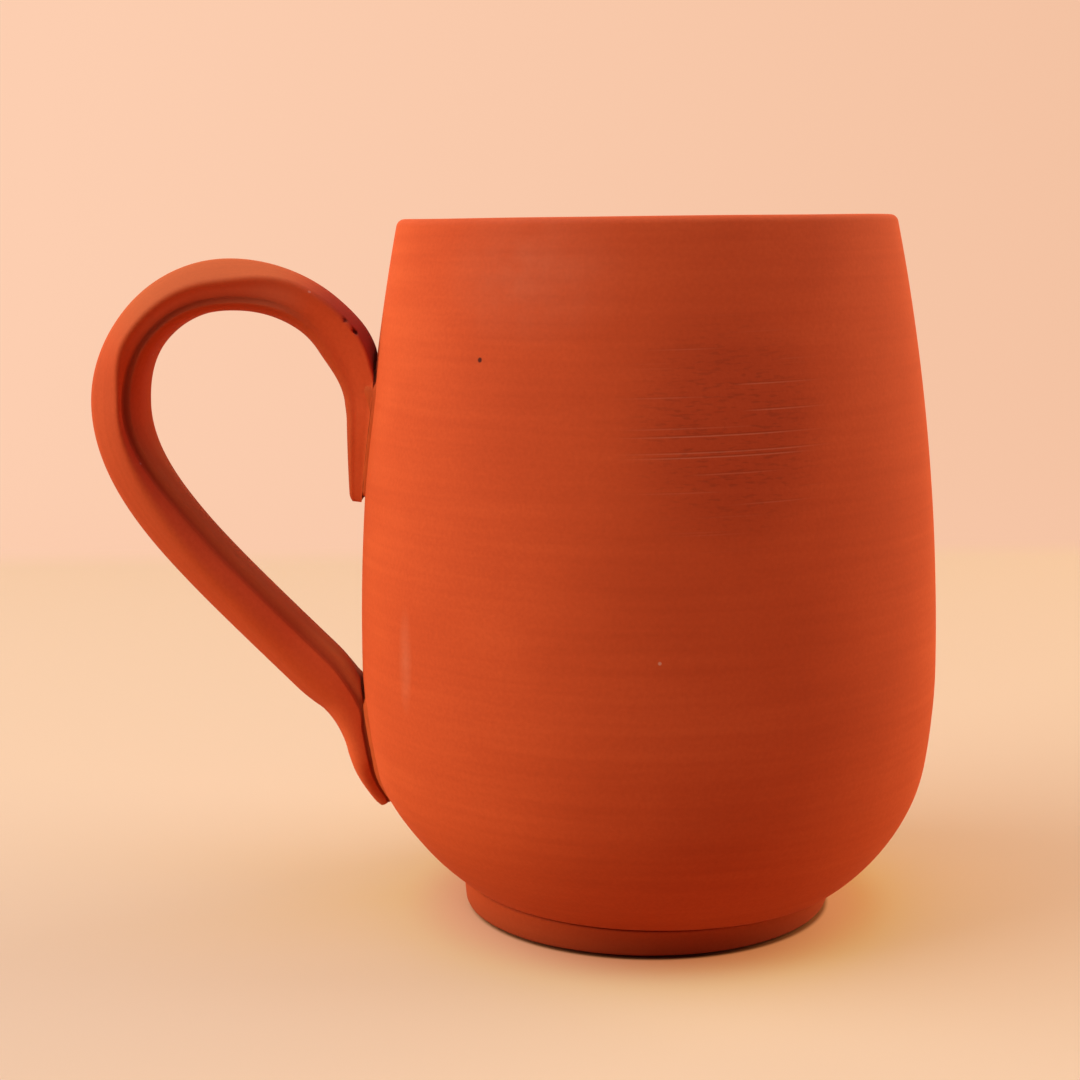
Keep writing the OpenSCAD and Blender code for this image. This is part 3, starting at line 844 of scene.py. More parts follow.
seam_turn = np.degrees(np.arctan2(seam_points[:, 1], seam_points[:, 0]))
wiped = np.zeros(len(seam_points))
for middle, half in SEAM_WIPED:
    away = np.abs((seam_turn - middle + 180) % 360 - 180)
    wiped = np.maximum(wiped, smooth((half - away) / WIPED_FADE))
seam_out = np.hypot(seam_points[:, 0], seam_points[:, 1])
rim_share = smooth((seam_out - slip_out_r + SEAM_IN) / SEAM_IN)
seam_points[:, :2] *= (1 + wiped * rim_share * (SEAM_IN + SEAM_PROUD) / seam_out)[:, None]
move_to(foot_seam, handled(seam_points))
print("foot seam:", len(foot_seam.data.polygons), "faces")

# %% [markdown]
# ## The route of the handle
# A pulled strap is stuck to the wall as a lower tail, bends out into a strut, turns over in a loop and
# comes back down onto the wall as the upper tail. Its route runs along the strap's widest line, as
# distance from the axis and height. The tails follow the wall, and the free stretches are Bezier curves
# that leave and meet them in the right direction.

# %% Sizes of the strap
HANDLE_TOP_OUT = 59.3
ARCH_SAG = 0.25
HANDLE_SIDE_Z = CUP_H - 26.0
UPPER_ROOT_Z = CUP_H - 26.0
UPPER_TAIL_Z = CUP_H - 39.8
LOWER_ROOT_Z = 34.0
STRUT_ANGLE = math.radians(46)
STRAP_W = 15.5
CROWN_H = 2.8
FLANK_H = 2.8
RIB_SWELL = 0.3
RIB_H = 1.8
BEND_H = 7.5
UPPER_TAIL_T = 3.6
LOWER_TAIL_T = 4.2
UPPER_END_T = 2.0
LOWER_END_T = 3.2
TAIL_END_W = 9.0
TAIL_END_L = 3.5
PRESS_SHARE = 0.3
TIP_WIDTH = (0.92, 0.8)
TIP_THICKNESS = 0.75
TIP_BLUNT = 3.5
BEND_PAST = 0.2
BEND_HOLD = (0.45, 0.3)
STRUT_HOLD = (0.5, 0.24)
ROUND_HOLD = 0.5523
FALL_HOLD = (0.55, 0.6)
SEAT_GAP = 0.04
SEAT = SLIP_T + SEAT_GAP
STRAP_IN_H = FLANK_H + RIB_H
STRAP_T = CROWN_H + STRAP_IN_H
print(f"strap {STRAP_W} mm wide and {STRAP_T:.1f} mm thick")

# %% Tails on the wall


def between(a, b, t):
    """Value part of the way from a to b."""
    return a + (b - a) * t


def bezier(p0, p1, p2, p3, steps):
    """Points along a cubic Bezier curve."""
    t = np.linspace(0, 1, steps + 1)[:, None]
    s = 1 - t
    return s**3 * p0 + 3 * s**2 * t * p1 + 3 * s * t**2 * p2 + t**3 * p3


def heading(z):
    """Direction up the wall at a height, as distance and height."""
    nudge = 0.1
    step = np.array([float(wall(z + nudge) - wall(z - nudge)), 2 * nudge])
    return step / np.linalg.norm(step)


strut_dir = np.array([math.cos(STRUT_ANGLE), math.sin(STRUT_ANGLE)])
strut_side = np.array([strut_dir[1], -strut_dir[0]])
strut_foot = np.array([float(wall(LOWER_ROOT_Z, SEAT)), LOWER_ROOT_Z]) + STRAP_IN_H * strut_side
BEND_Z = strut_foot[1] - BEND_H


def down_tail(z, low):
    """How far down the low or the high tail a height is, from 0 at its root to 1 at its end."""
    root, end = (BEND_Z, LOWER_TAIL_Z) if low else (UPPER_ROOT_Z, UPPER_TAIL_Z)
    return np.clip((root - z) / (root - end), 0, 1)


def tail_thickness(z, low):
    """Share of the strap's thickness that a tail has at a height."""
    root_t, end_t = (LOWER_TAIL_T, LOWER_END_T) if low else (UPPER_TAIL_T, UPPER_END_T)
    return between(root_t, end_t, down_tail(z, low)) / STRAP_T


def tail_line(z, low):
    """Distance from the axis to the strap's widest line where a tail lies on the wall."""
    pressed_side = STRAP_IN_H if low else CROWN_H
    return wall(z, SEAT) + (1 - PRESS_SHARE) * pressed_side * tail_thickness(z, low)


print(f"the lower bend leaves the wall {BEND_Z:.1f} mm up")

# %% Route of the strap
TAIL_RINGS = 44
BEND_RINGS = 24
STRUT_RINGS = 90
QUARTER_RINGS = 110
bend_from = np.array([float(tail_line(BEND_Z, True)), BEND_Z])
strut_from = strut_foot + BEND_H * BEND_PAST * strut_dir
loop_side = np.array([HANDLE_REACH - CROWN_H, HANDLE_SIDE_Z])
loop_top = np.array([HANDLE_TOP_OUT, HANDLE_TOP_Z - ARCH_SAG - CROWN_H])
upper_root = np.array([float(tail_line(UPPER_ROOT_Z, False)), UPPER_ROOT_Z])
strut_l = np.linalg.norm(loop_side - strut_from)
loop_rise = loop_top[1] - loop_side[1]
loop_out = loop_side[0] - loop_top[0]
loop_in = loop_top[0] - upper_root[0]
loop_fall = loop_top[1] - upper_root[1]

low_z = np.linspace(LOWER_TAIL_Z, BEND_Z, TAIL_RINGS + 1)
high_z = np.linspace(UPPER_ROOT_Z, UPPER_TAIL_Z, TAIL_RINGS + 1)
lower_tail = np.column_stack([tail_line(low_z, True), low_z])
upper_tail = np.column_stack([tail_line(high_z, False), high_z])
bend = bezier(
    bend_from,
    bend_from + BEND_H * BEND_HOLD[0] * heading(BEND_Z),
    strut_from - BEND_H * BEND_HOLD[1] * strut_dir,
    strut_from,
    BEND_RINGS,
)
strut = bezier(
    strut_from,
    strut_from + strut_l * STRUT_HOLD[0] * strut_dir,
    loop_side - np.array([0, strut_l * STRUT_HOLD[1]]),
    loop_side,
    STRUT_RINGS,
)
rising = bezier(
    loop_side,
    loop_side + np.array([0, loop_rise * ROUND_HOLD]),
    loop_top + np.array([loop_out * ROUND_HOLD, 0]),
    loop_top,
    QUARTER_RINGS,
)
falling = bezier(
    loop_top,
    loop_top - np.array([loop_in * FALL_HOLD[0], 0]),
    upper_root + loop_fall * FALL_HOLD[1] * heading(UPPER_ROOT_Z),
    upper_root,
    QUARTER_RINGS,
)
route = np.vstack([lower_tail[:-1], bend[:-1], strut[:-1], rising[:-1], falling[:-1], upper_tail])
runs = np.concatenate([[0.0], np.cumsum(np.linalg.norm(np.diff(route, axis=0), axis=1))])
route_l = runs[-1]
print(f"strap route {route_l:.1f} mm long in {len(route)} rings")

# %% [markdown]
# ## The strap's section
# A wet thumb run along both sides leaves the strap with an outer face that rises to a low ridge, a soft
# arris, a flank that draws in to a crease, and a lower rib inside the crease. Half of the section is
# built from those curves and mirrored. The crease gets a narrow groove, because the eye reads that thin
# dark line from across a room.
# No two rings of a pulled strap are alike. The arris and the crease wander, the arris softens towards the
# strut, flank, rib and thickness change, and the whole strap is rolled a little on its route. These
# changes are written as stations along the route, with an eased run from each to the next. Place 0 is
# where the strut starts, 1 the outermost side of the loop, 2 its top and 3 the upper root.

# %% Stations along the route
LANDMARKS = runs[np.cumsum([TAIL_RINGS + BEND_RINGS, STRUT_RINGS, QUARTER_RINGS, QUARTER_RINGS])]


def run_at(place):
    """Way along the route to a place between landmarks, such as 2.5 for halfway down the fall."""
    return np.interp(place, range(len(LANDMARKS)), LANDMARKS)


def stations(*places):
    """A value at each ring, eased between stations: each is a place between landmarks and a value."""
    at = run_at([place for place, value in places])
    values = np.array([value for place, value in places])
    k = np.clip(np.searchsorted(at, runs) - 1, 0, len(at) - 2)
    return between(values[k], values[k + 1], smooth((runs - at[k]) / (at[k + 1] - at[k])))


arris_deep = stations(
    (0.0, 2.0), (0.5, 2.5), (1.05, 5.0), (1.4, 3.5), (1.95, 3.1), (2.35, 1.9), (2.8, 1.0), (3.0, 0.2)
)
crease_deep = stations((0.5, 5.3), (1.0, 5.5))
flank_draw = stations((0.0, 0.2), (0.2, 1.2), (0.8, 1.75), (2.1, 1.75), (2.5, 1.3))
rib_round = stations((0.0, 0.15), (0.2, 0.45), (0.8, 0.55))
strap_stout = stations((0.6, 1.16), (1.0, 1.08), (1.45, 0.96), (2.0, 0.99), (2.4, 0.95), (3.0, 1.0))
crown_full = stations((2.5, 1.0), (2.9, 1.28), (3.0, 1.15))
arris_soft = stations((0.0, 2.6), (0.6, 1.4), (1.0, 1.0), (2.4, 1.0), (2.8, 0.5), (3.0, 0.2))
strap_roll = stations((0.55, 12.0), (1.05, 0.0), (1.9, 0.0), (2.4, -7.0), (3.0, 0.0))
print("landmarks along the route, mm:", LANDMARKS.round(1).tolist())

# %% Half section
CROWN_STEPS = 14
ARRIS_STEPS = 6
FLANK_STEPS = 5
RIB_STEPS = 9
RIDGE_ROUND = 3.0
RIB_FROM = math.radians(20)
ARRIS_MOST = 0.8
GROOVE_DEEP = 0.45
GROOVE_HALF = 0.35


def half_section(i, crease):
    """Half of the strap's section at a ring, from the middle of the outer face to that of the inner one."""
    edge = STRAP_W / 2
    crease_x = edge - flank_draw[i]
    rib_x = crease_x + RIB_SWELL * crease
    deep, soft = arris_deep[i], arris_soft[i]
    crease_y = CROWN_H - crease_deep[i]
    x = np.linspace(0, edge - soft, CROWN_STEPS + 1)
    sunk = (np.hypot(x, RIDGE_ROUND) - RIDGE_ROUND) / (math.hypot(edge, RIDGE_ROUND) - RIDGE_ROUND)
    crown = np.column_stack([x, CROWN_H - deep * sunk])
    corner = np.array([edge, CROWN_H - deep])
    flank_end = np.array([crease_x, crease_y + GROOVE_HALF])
    flank_l = np.linalg.norm(flank_end - corner)
    soft_end = between(corner, flank_end, min(soft / flank_l, ARRIS_MOST))
    t = np.linspace(0, 1, ARRIS_STEPS + 1)[1:-1, None]
    arris = (1 - t) ** 2 * crown[-1] + 2 * t * (1 - t) * corner + t**2 * soft_end
    flank = np.linspace(soft_end, flank_end, FLANK_STEPS + 1)
    groove = np.array([[crease_x - GROOVE_DEEP * crease, crease_y]])
    a = np.linspace(RIB_FROM, math.pi / 2, RIB_STEPS + 1)
    rib_y = crease_y - (STRAP_IN_H + crease_y) * np.sin(a)
    rib = np.column_stack([rib_x * np.cos(a).clip(0) ** rib_round[i], rib_y])
    return np.vstack([crown, arris, flank, groove, rib])


def section(i, crease):
    """The whole section at a ring, as a ring of points."""
    half = half_section(i, crease)
    return np.vstack([half, half[-2:0:-1] * [-1, 1]])


print("points in one ring of the strap:", len(section(0, 1.0)))

# %% [markdown]
# ## Lofting the strap
# Ring by ring, the section is scaled to the strap's width and thickness there and set square to the
# route. The rib keeps its height into the lower bend, so that the strut runs straight into the wall. The
# crease runs on down the lower tail and fades towards the upper end. The tails take on the roundness of
# the wall, and clay that would enter the wall is pushed back out to it. A curve with a bevel shape can't
# do this, because the section changes along the way and the tails have to lie on the wall, so the strap
# is lofted in plain array code.

# %% Width and thickness along the strap
THIN_SHARE = 0.6
THIN_PAST = 2.5
RIB_EARLY = 0.5
CREASE_FADE = (0.45, 0.8)
lower_from = runs[TAIL_RINGS]
lower_full = LANDMARKS[0] + BEND_H / 2
upper_to = LANDMARKS[-1]
upper_full = upper_to - loop_fall * THIN_SHARE


def tip_round(share, left):
    """Rounding towards a tail's end: from the share that is left at the tip up to 1."""
    return np.sqrt(1 - (1 - left**2) * (1 - np.minimum(1, share)) ** 2)


from_tip = np.minimum(runs, route_l - runs) / TAIL_END_L
past_bend = (runs - lower_from) / (lower_full - lower_from)
low_free = smooth(past_bend)
top_free = smooth((upper_to + THIN_PAST - runs) / (upper_to + THIN_PAST - upper_full))
free = np.minimum(low_free, top_free)
thick_low = between(tail_thickness(route[:, 1], True), 1, low_free)
thick_top = between(tail_thickness(route[:, 1], False), 1, top_free)
strap_thick = np.minimum(thick_low, thick_top) * between(1, strap_stout, free)
strap_thick *= tip_round(TIP_BLUNT * from_tip, TIP_THICKNESS)
rib_early = np.maximum(smooth(past_bend / RIB_EARLY) / strap_thick, 1)
rib_early = np.where(runs < upper_to / 2, rib_early, 1)
down_low = down_tail(route[:, 1], True) * (runs < lower_from)
down_top = down_tail(route[:, 1], False) * (runs > upper_to)
tip_left = np.where(runs < lower_from, *TIP_WIDTH)
strap_wide = between(1, TAIL_END_W / STRAP_W, smooth(down_low + down_top)) * tip_round(from_tip, tip_left)
crease_to = upper_to - loop_fall * CREASE_FADE[0]
crease_share = smooth((crease_to - runs) / (loop_fall * CREASE_FADE[1]))
print(f"strap {STRAP_T * strap_thick.min():.1f} to {STRAP_T * strap_thick.max():.1f} mm thick")

# %% Rings of the strap
step = np.gradient(route, axis=0)
step /= np.linalg.norm(step, axis=1)[:, None]
outwards = np.column_stack([step[:, 1], -step[:, 0]])


def strap_ring(i):
    """Ring of the strap at a point of its route, in millimetres."""
    q = section(i, crease_share[i]) * [strap_wide[i], strap_thick[i]]
    q[:, 1] *= np.where(q[:, 1] > 0, crown_full[i], rib_early[i])
    roll = math.radians(strap_roll[i]) * free[i]
    q = q @ np.array([[math.cos(roll), math.sin(roll)], [-math.sin(roll), math.cos(roll)]])
    p = route[i] + q[:, 1:] * outwards[i]
    wrapped = np.sqrt(p[:, 0] ** 2 - q[:, 0] ** 2)
    ring = np.column_stack([-between(wrapped, p[:, 0], free[i]), q[:, 0], p[:, 1]])
    out = np.hypot(ring[:, 0], ring[:, 1])
    least = wall(ring[:, 2], SEAT)
    ring[:, :2] *= np.where(out < least, least / out, 1.0)[:, None]
    return ring


rings = np.array([strap_ring(i) for i in range(len(route))])
ring_n = rings.shape[1]
print("strap lofted through", len(rings), "rings of", ring_n, "points")

# %% [markdown]
# ## Painted shade and light, and the tear in the bend
# Where the strap bends down to the wall, its skin tore while it dried, and two ragged pits opened in the
# near arris. There the outer face turns away from the lamps and gets a deep red painted shade. More
# painted shade lies in brown on the strut's inner face and on top of the arch, as a dark red line in the
# crease, and in dark clay on the inner face of the loop and on the outer face at its side. A pale painted
# light lifts the shaded flank under the arch. How strong each is at a point goes onto the mesh, and the
# clay's colour follows it. Each is a product of a share round the section and a share along the route.

# %% Painted shade and light on the strap
# Shares of painted shade and painted light on the strap.
BEND_SHADE = 0.75
INNER_SHADE = 0.18
SIDE_SHADE = 0.12
STRUT_INNER_SHADE = 0.35
ARCH_TOP_SHADE = 0.2
ARCH_FLANK_LIFT = 0.3
CREASE_SHADE = 0.5
CREASE_SPREAD = 1.7
flank_from = CROWN_STEPS + ARRIS_STEPS
crease_at = flank_from + FLANK_STEPS + 1
from_crown = np.minimum(np.arange(ring_n), ring_n - np.arange(ring_n))
on_crown = smooth((flank_from - from_crown) / ARRIS_STEPS)
on_rib = smooth((from_crown - flank_from - FLANK_STEPS) / RIB_STEPS * 2)
on_flank = smooth((from_crown - CROWN_STEPS) / ARRIS_STEPS - 0.5) * (1 - on_rib)
in_crease = np.exp(-(((from_crown - crease_at) / CREASE_SPREAD) ** 2))
on_strut = stations((0.75, 1.0), (1.1, 0.0))[:, None]
on_side = stations((0.3, 0.0), (0.7, 1.0), (1.1, 1.0), (1.5, 0.0))[:, None]
on_arch = stations((1.2, 0.0), (1.6, 1.0), (2.2, 1.0), (2.5, 0.0))[:, None]
on_bend = stations((2.3, 0.0), (2.7, 1.0))[:, None]
crease_line = (stations((0.9, 1.0), (1.4, 0.5)) * crease_share)[:, None]
# Painted light: a pale tint lifts the shaded flank under the arch.
dust_and_lift = ARCH_FLANK_LIFT * on_flank * on_arch
# Painted shade in brown on the strut's inner face and on top of the arch.
brown_shade = STRUT_INNER_SHADE * on_rib * on_strut + ARCH_TOP_SHADE * on_crown * on_arch
# Painted shade in deep red in the crease, and on the outer face of the bend, which faces away from the
# lamps.
red_shade = CREASE_SHADE * in_crease * crease_line + BEND_SHADE * on_crown * on_bend
# Painted shade in dark clay on the inner face of the loop and on the outer face at its side.
dark_shade = INNER_SHADE * on_rib * (1 - on_strut) + SIDE_SHADE * on_crown * on_side
print("strongest stains:", [round(float(painted_layer.max()), 2) for painted_layer in (dust_and_lift, brown_shade, red_shade, dark_shade)])

# %% [markdown]
# ## Pits
# A pit is a dent with its place on the route, its half length, its half width and its depth. Noise bends
# its edge, because clay tears raggedly. The points of the strap are pushed in towards the middle of their
# ring, so the pits are real hollows, and painted shade darkens them as well.

# %% Tear the pits
PITS = ((2.6, 0.75, 0.3, 0.3), (2.665, 0.95, 0.42, 0.6))
PIT_RAGGED_MM = 0.6
PIT_RAGGED_BY = 0.7
PIT_SHADE = 0.9
near_arris = ring_n - CROWN_STEPS - ARRIS_STEPS // 2
inwards = rings.mean(axis=1)[:, None, :] - rings
inwards /= np.linalg.norm(inwards, axis=2)[:, :, None]
for place, half_l, half_w, deep in PITS:
    pit_ring = int(np.argmin(np.abs(runs - run_at(place))))
    along = (runs - runs[pit_ring])[:, None]
    away = np.linalg.norm(rings - rings[pit_ring, near_arris], axis=2)
    across = np.sqrt(np.maximum(away**2 - along**2, 0.0))
    pit_far = np.hypot(along / half_l, across / half_w)
    for i, j in np.argwhere(pit_far < 2):
        pit_far[i, j] *= 1 + PIT_RAGGED_BY * noise.noise(Vector(rings[i, j] / PIT_RAGGED_MM))
    pit = smooth(2 * (1 - pit_far))
    rings += deep * pit[:, :, None] * inwards
    # The pits also get painted shade, as dark as the shade in a hollow.
    dark_shade = np.maximum(dark_shade, PIT_SHADE * pit)
print("pits torn in the bend:", len(PITS))

# %% [markdown]
# ## A mesh through rings
# The rings of the strap, and later those of the slip beds, become closed meshes by the same function. It
# spans quads from ring to ring and closes the ends with fans. The points keep their order, so a value
# that is known for each ring and point can be put straight onto the mesh.

# %% Loft


def loft(name, rings, material):
    """A closed mesh through rings of points, with flat fans over both ends."""
    count, size = rings.shape[:2]
    ends = [rings[0].mean(axis=0), rings[-1].mean(axis=0)]
    points = np.vstack([rings.reshape(-1, 3), ends])
    faces = []
    for i in range(count - 1):
        for j in range(size):
            a, b = i * size + j, i * size + (j + 1) % size
            faces.append((a, b, b + size, a + size))
    first, final, last = count * size, count * size + 1, (count - 1) * size
    for j in range(size):
        faces.append((first, (j + 1) % size, j))
        faces.append((final, last + j, last + (j + 1) % size))
    mesh = bpy.data.meshes.new(name)
    mesh.from_pydata((points * MM).tolist(), [], faces)
    mesh.materials.append(material)
    mesh.shade_smooth()
    return placed(name, mesh)


print("faces between two rings of the strap:", ring_n)

# %% [markdown]
# ## Clay of the handle
# The strap was pulled with wet fingers, so its streaks run along it. An attribute on the mesh tells how
# far along the strap and how far round its section a point is, and the streaks are noise stretched along
# it. A few grains of grog show as pale specks. The painted shade and light have an attribute each, and
# their colours are laid over the clay one after another.

# %% Clay of the handle
GROG_APART = 17.0
GROG_R = 0.25
GROG_PALE = 0.6
# Colours of the painted shade on the strap.
SHADE_BROWN = "#8f7438"
SHADE_RED = "#8a1a02"
PAINTED_LAYERS = (
    ("dust_and_lift", dust_and_lift, CLAY_DUST),
    ("brown_shade", brown_shade, SHADE_BROWN),
    ("red_shade", red_shade, SHADE_RED),
    ("dark_shade", dark_shade, CLAY_PIT),
)


def pulled_terracotta():
    """Pulled clay: streaks along the strap, a few pale grains of grog, and the painted shade and light."""
    made = empty_material("pulled_terracotta")
    tree = made.node_tree
    along = add(tree, "ShaderNodeAttribute", attribute_name="along_strap").outputs["Vector"]
    scale = (1 / (STREAK_LONG_MM * MM), 1 / (STREAK_MM * MM), 1.0)
    streaks = add(tree, "ShaderNodeVectorMath", {0: along, 1: scale}, operation="MULTIPLY").outputs[0]
    colour, grain, streak = clay_base(tree, streaks)
    speck = {"Vector": along, "Scale": 1 / (GROG_APART * MM)}
    speck = add(tree, "ShaderNodeTexVoronoi", speck, voronoi_dimensions="2D").outputs["Distance"]
    speck = {0: speck, 1: GROG_R / GROG_APART, 2: GROG_R / GROG_APART / 2, 4: GROG_PALE}
    layers = [(add(tree, "ShaderNodeMapRange", speck).outputs[0], LIME)]
    for label, painted_layer, tint in PAINTED_LAYERS:
        layers.append((add(tree, "ShaderNodeAttribute", attribute_name=label).outputs["Fac"], tint))
    clay_shader(tree, colour, grain, streak, layers)
    return made


PULLED = pulled_terracotta()
print("material:", PULLED.name, "with", len(PULLED.node_tree.nodes), "nodes")

# %% The handle and its attributes
handle = loft("pulled_handle", rings, PULLED)
middle_ring = section(len(route) // 2, 1.0)
round_ring = np.linalg.norm(np.diff(middle_ring, axis=0, append=middle_ring[:1]), axis=1)
round_ring = np.concatenate([[0.0], np.cumsum(round_ring)[:-1]])
strap_place = np.zeros((len(handle.data.vertices), 3))
strap_place[: len(route) * ring_n, 0] = np.repeat(runs, ring_n)
strap_place[: len(route) * ring_n, 1] = np.tile(round_ring, len(route))
strap_place[-1, 0] = route_l
attribute = handle.data.attributes.new("along_strap", "FLOAT_VECTOR", "POINT")
attribute.data.foreach_set("vector", (strap_place * MM).ravel())
for label, painted_layer, tint in PAINTED_LAYERS:
    at_points = np.zeros(len(handle.data.vertices))
    at_points[: painted_layer.size] = painted_layer.ravel()
    handle.data.attributes.new(label, "FLOAT", "POINT").data.foreach_set("value", at_points)
move_to(handle, handled(coords_mm(handle)))
print("pulled handle:", len(handle.data.polygons), "faces")

# %% [markdown]
# ## Slip under the tails
# Each tail sits on a bed of slip that was wiped out into low fillets along both sides. Their edges run
# into the wall and their ends are rounded. Above the upper root the strap leaves a nook, and slip was
# pressed up into it. The bed follows the wall's surface, so it is a patch of the turned wall: a strip of
# rings up the tail, each as wide as the tail and its fillets. A fillet is written as pairs of a distance
# beyond the tail's edge and a height over the wall.

# %% A bed under a tail
RAGGED_BY = 0.15
RAGGED_MM = 2.2
BED_STEP = 0.6
BED_COLUMNS = 13
BED_FEATHER = 0.03
BED_SUNK = 0.25
BED_ROUND = (1.0, 2.0)
BED_TIP = 0.3
FILLET_FADE = (1.0, 2.5)
UPPER_FILLET = ((0.05, 0.45), (0.45, 0.2), (1.0, 0.0))
LOWER_FILLET = ((0.05, 0.4), (0.5, 0.22), (1.2, 0.1), (2.2, 0.0))
SLIP_BELOW = 0.6
SLIP_ABOVE = 2.8
SLIP_OVER = 1.0
NOOK_H = 6.0
NOOK_FILL = 1.6


def tail_half_width(z, low):
    """Half of a tail's width at a height, a little inside its edge."""
    rows = slice(0, TAIL_RINGS + 1) if low else slice(len(route) - 1 - TAIL_RINGS, len(route))
    heights, widths = route[rows, 1], strap_wide[rows] * STRAP_W / 2
    order = np.argsort(heights)
    return float(np.interp(z, heights[order], widths[order])) - RAGGED_BY


def slip_bed(name, low, bottom, top, fillet, seed, nook_fill=0.0):
    """Bed of slip on the wall under the low or the high tail, between two heights, with its fillets."""
    beyond, proud = np.array(fillet).T
    bed_rings = []
    for z in np.linspace(bottom, top, math.ceil((top - bottom) / BED_STEP) + 1):
        near, far = (RAGGED_BY * noise.noise(Vector((side * seed, z / RAGGED_MM, seed))) for side in (-1, 1))
        up, down = z - bottom, top - z
        rounded = tip_round(up / BED_ROUND[0], BED_TIP) * tip_round(down / BED_ROUND[1], BED_TIP)
        ends = float(smooth(up / FILLET_FADE[0]) * smooth(down / FILLET_FADE[1]))
        room = tail_half_width(z, low)
        under = np.linspace(-room, room, BED_COLUMNS)
        y = np.concatenate([-(room + near + beyond)[::-1], under, room + far + beyond]) * rounded
        filled = SEAT + nook_fill * ends * float(smooth(1 - down / NOOK_H))
        lift = BED_FEATHER + proud * ends
        lift[-1] = -BED_SUNK
        lift = np.concatenate([lift[::-1], np.full(BED_COLUMNS, filled), lift])
        level = np.full_like(y, z)
        front, back = (
            np.column_stack([-np.sqrt(wall(level, off) ** 2 - y**2), y, level])
            for off in (lift, -2 * BED_SUNK)
        )
        bed_rings.append(np.vstack([front, back[::-1]]))
    return loft(name, np.array(bed_rings), SLIP)


print(f"the tails are {2 * tail_half_width(UPPER_ROOT_Z, False):.1f} mm wide at the upper root")

# %% Lay the two beds
upper_bed = slip_bed(
    "upper_slip",
    False,
    UPPER_TAIL_Z + SLIP_T,
    UPPER_ROOT_Z + STRAP_T / 2 + SLIP_OVER,
    UPPER_FILLET,
    seed=5.0,
    nook_fill=NOOK_FILL,
)
lower_bed = slip_bed(
    "lower_slip",
    True,
    LOWER_TAIL_Z - SLIP_BELOW,
    LOWER_ROOT_Z - STRAP_T / 2 + SLIP_ABOVE,
    LOWER_FILLET,
    seed=9.0,
)
for bed in (upper_bed, lower_bed):
    move_to(bed, handled(coords_mm(bed)))
    print(bed.name, "with", len(bed.data.polygons), "faces")

# %% [markdown]
# ## Telling the frame what replaces what
# Every visible piece rides on the cup's only body and stands for one node of the construction model.

# %% Ride and replace; the table also names each node's slot
for piece, node, slot in (
    (body, "cup_body", "terracotta"),
    (foot, "foot_ring", "terracotta"),
    (foot_seam, "foot_joint_slip", "slip"),
    (handle, "handle", "terracotta"),
    (upper_bed, "upper_joint_slip", "slip"),
    (lower_bed, "lower_joint_slip", "slip"),
):
    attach(piece, "root")
    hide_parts(node)
    print(f"{piece.name} replaces {node}, slot {slot}")

# %% [markdown]
# ## The paper sweep
# The cup stands on a sweep of peach paper: a floor that curves up into a wall behind. The camera sees the
# wall as one even colour, a little darker to the right, with a soft step where it meets the floor, and
# the far floor as one even colour too. On the near floor it sees the paper's own light and shade, with a
# warm glow added so that the shadows stay warm, as they are next to a red cup, and redder beside the
# foot. Under the foot's bevel there is none, so the dark line there stays. All other rays meet a plain
# darker paper, so the backdrop doesn't light the cup.

# %% Paper
PAPER = "#a39a93"
PAPER_UNDER = "#a8714c"
PAPER_GLOW = "#b08032"
PAPER_RED_GLOW = "#a85e28"
PAPER_BOUNCE = "#b5805c"
NO_LIGHT = "#000000"
FLOOR_FAR = "#facea9"
WALL_LEFT = "#fdceb0"
WALL_RIGHT = "#f4c2a2"
WALL_HALF_W = 240.0
WALL_FROM_Y = (285.0, 325.0)
UNDER_R = (FOOT_LOW_R + 0.2, FOOT_LOW_R - 0.7)
RED_GLOW_R = (FOOT_LOW_R, FOOT_LOW_R + 11.0)
EVEN_FROM_R = (380.0, 600.0)


def seen_by_eye(tree):
    """1 for rays that show a surface to the camera, straight, in gloss or through glass, else 0."""
    path = add(tree, "ShaderNodeLightPath").outputs
    seen = path["Is Camera Ray"]
    for ray in ("Is Glossy Ray", "Is Transmission Ray"):
        seen = add(tree, "ShaderNodeMath", {0: seen, 1: path[ray]}, operation="MAXIMUM").outputs[0]
    return seen


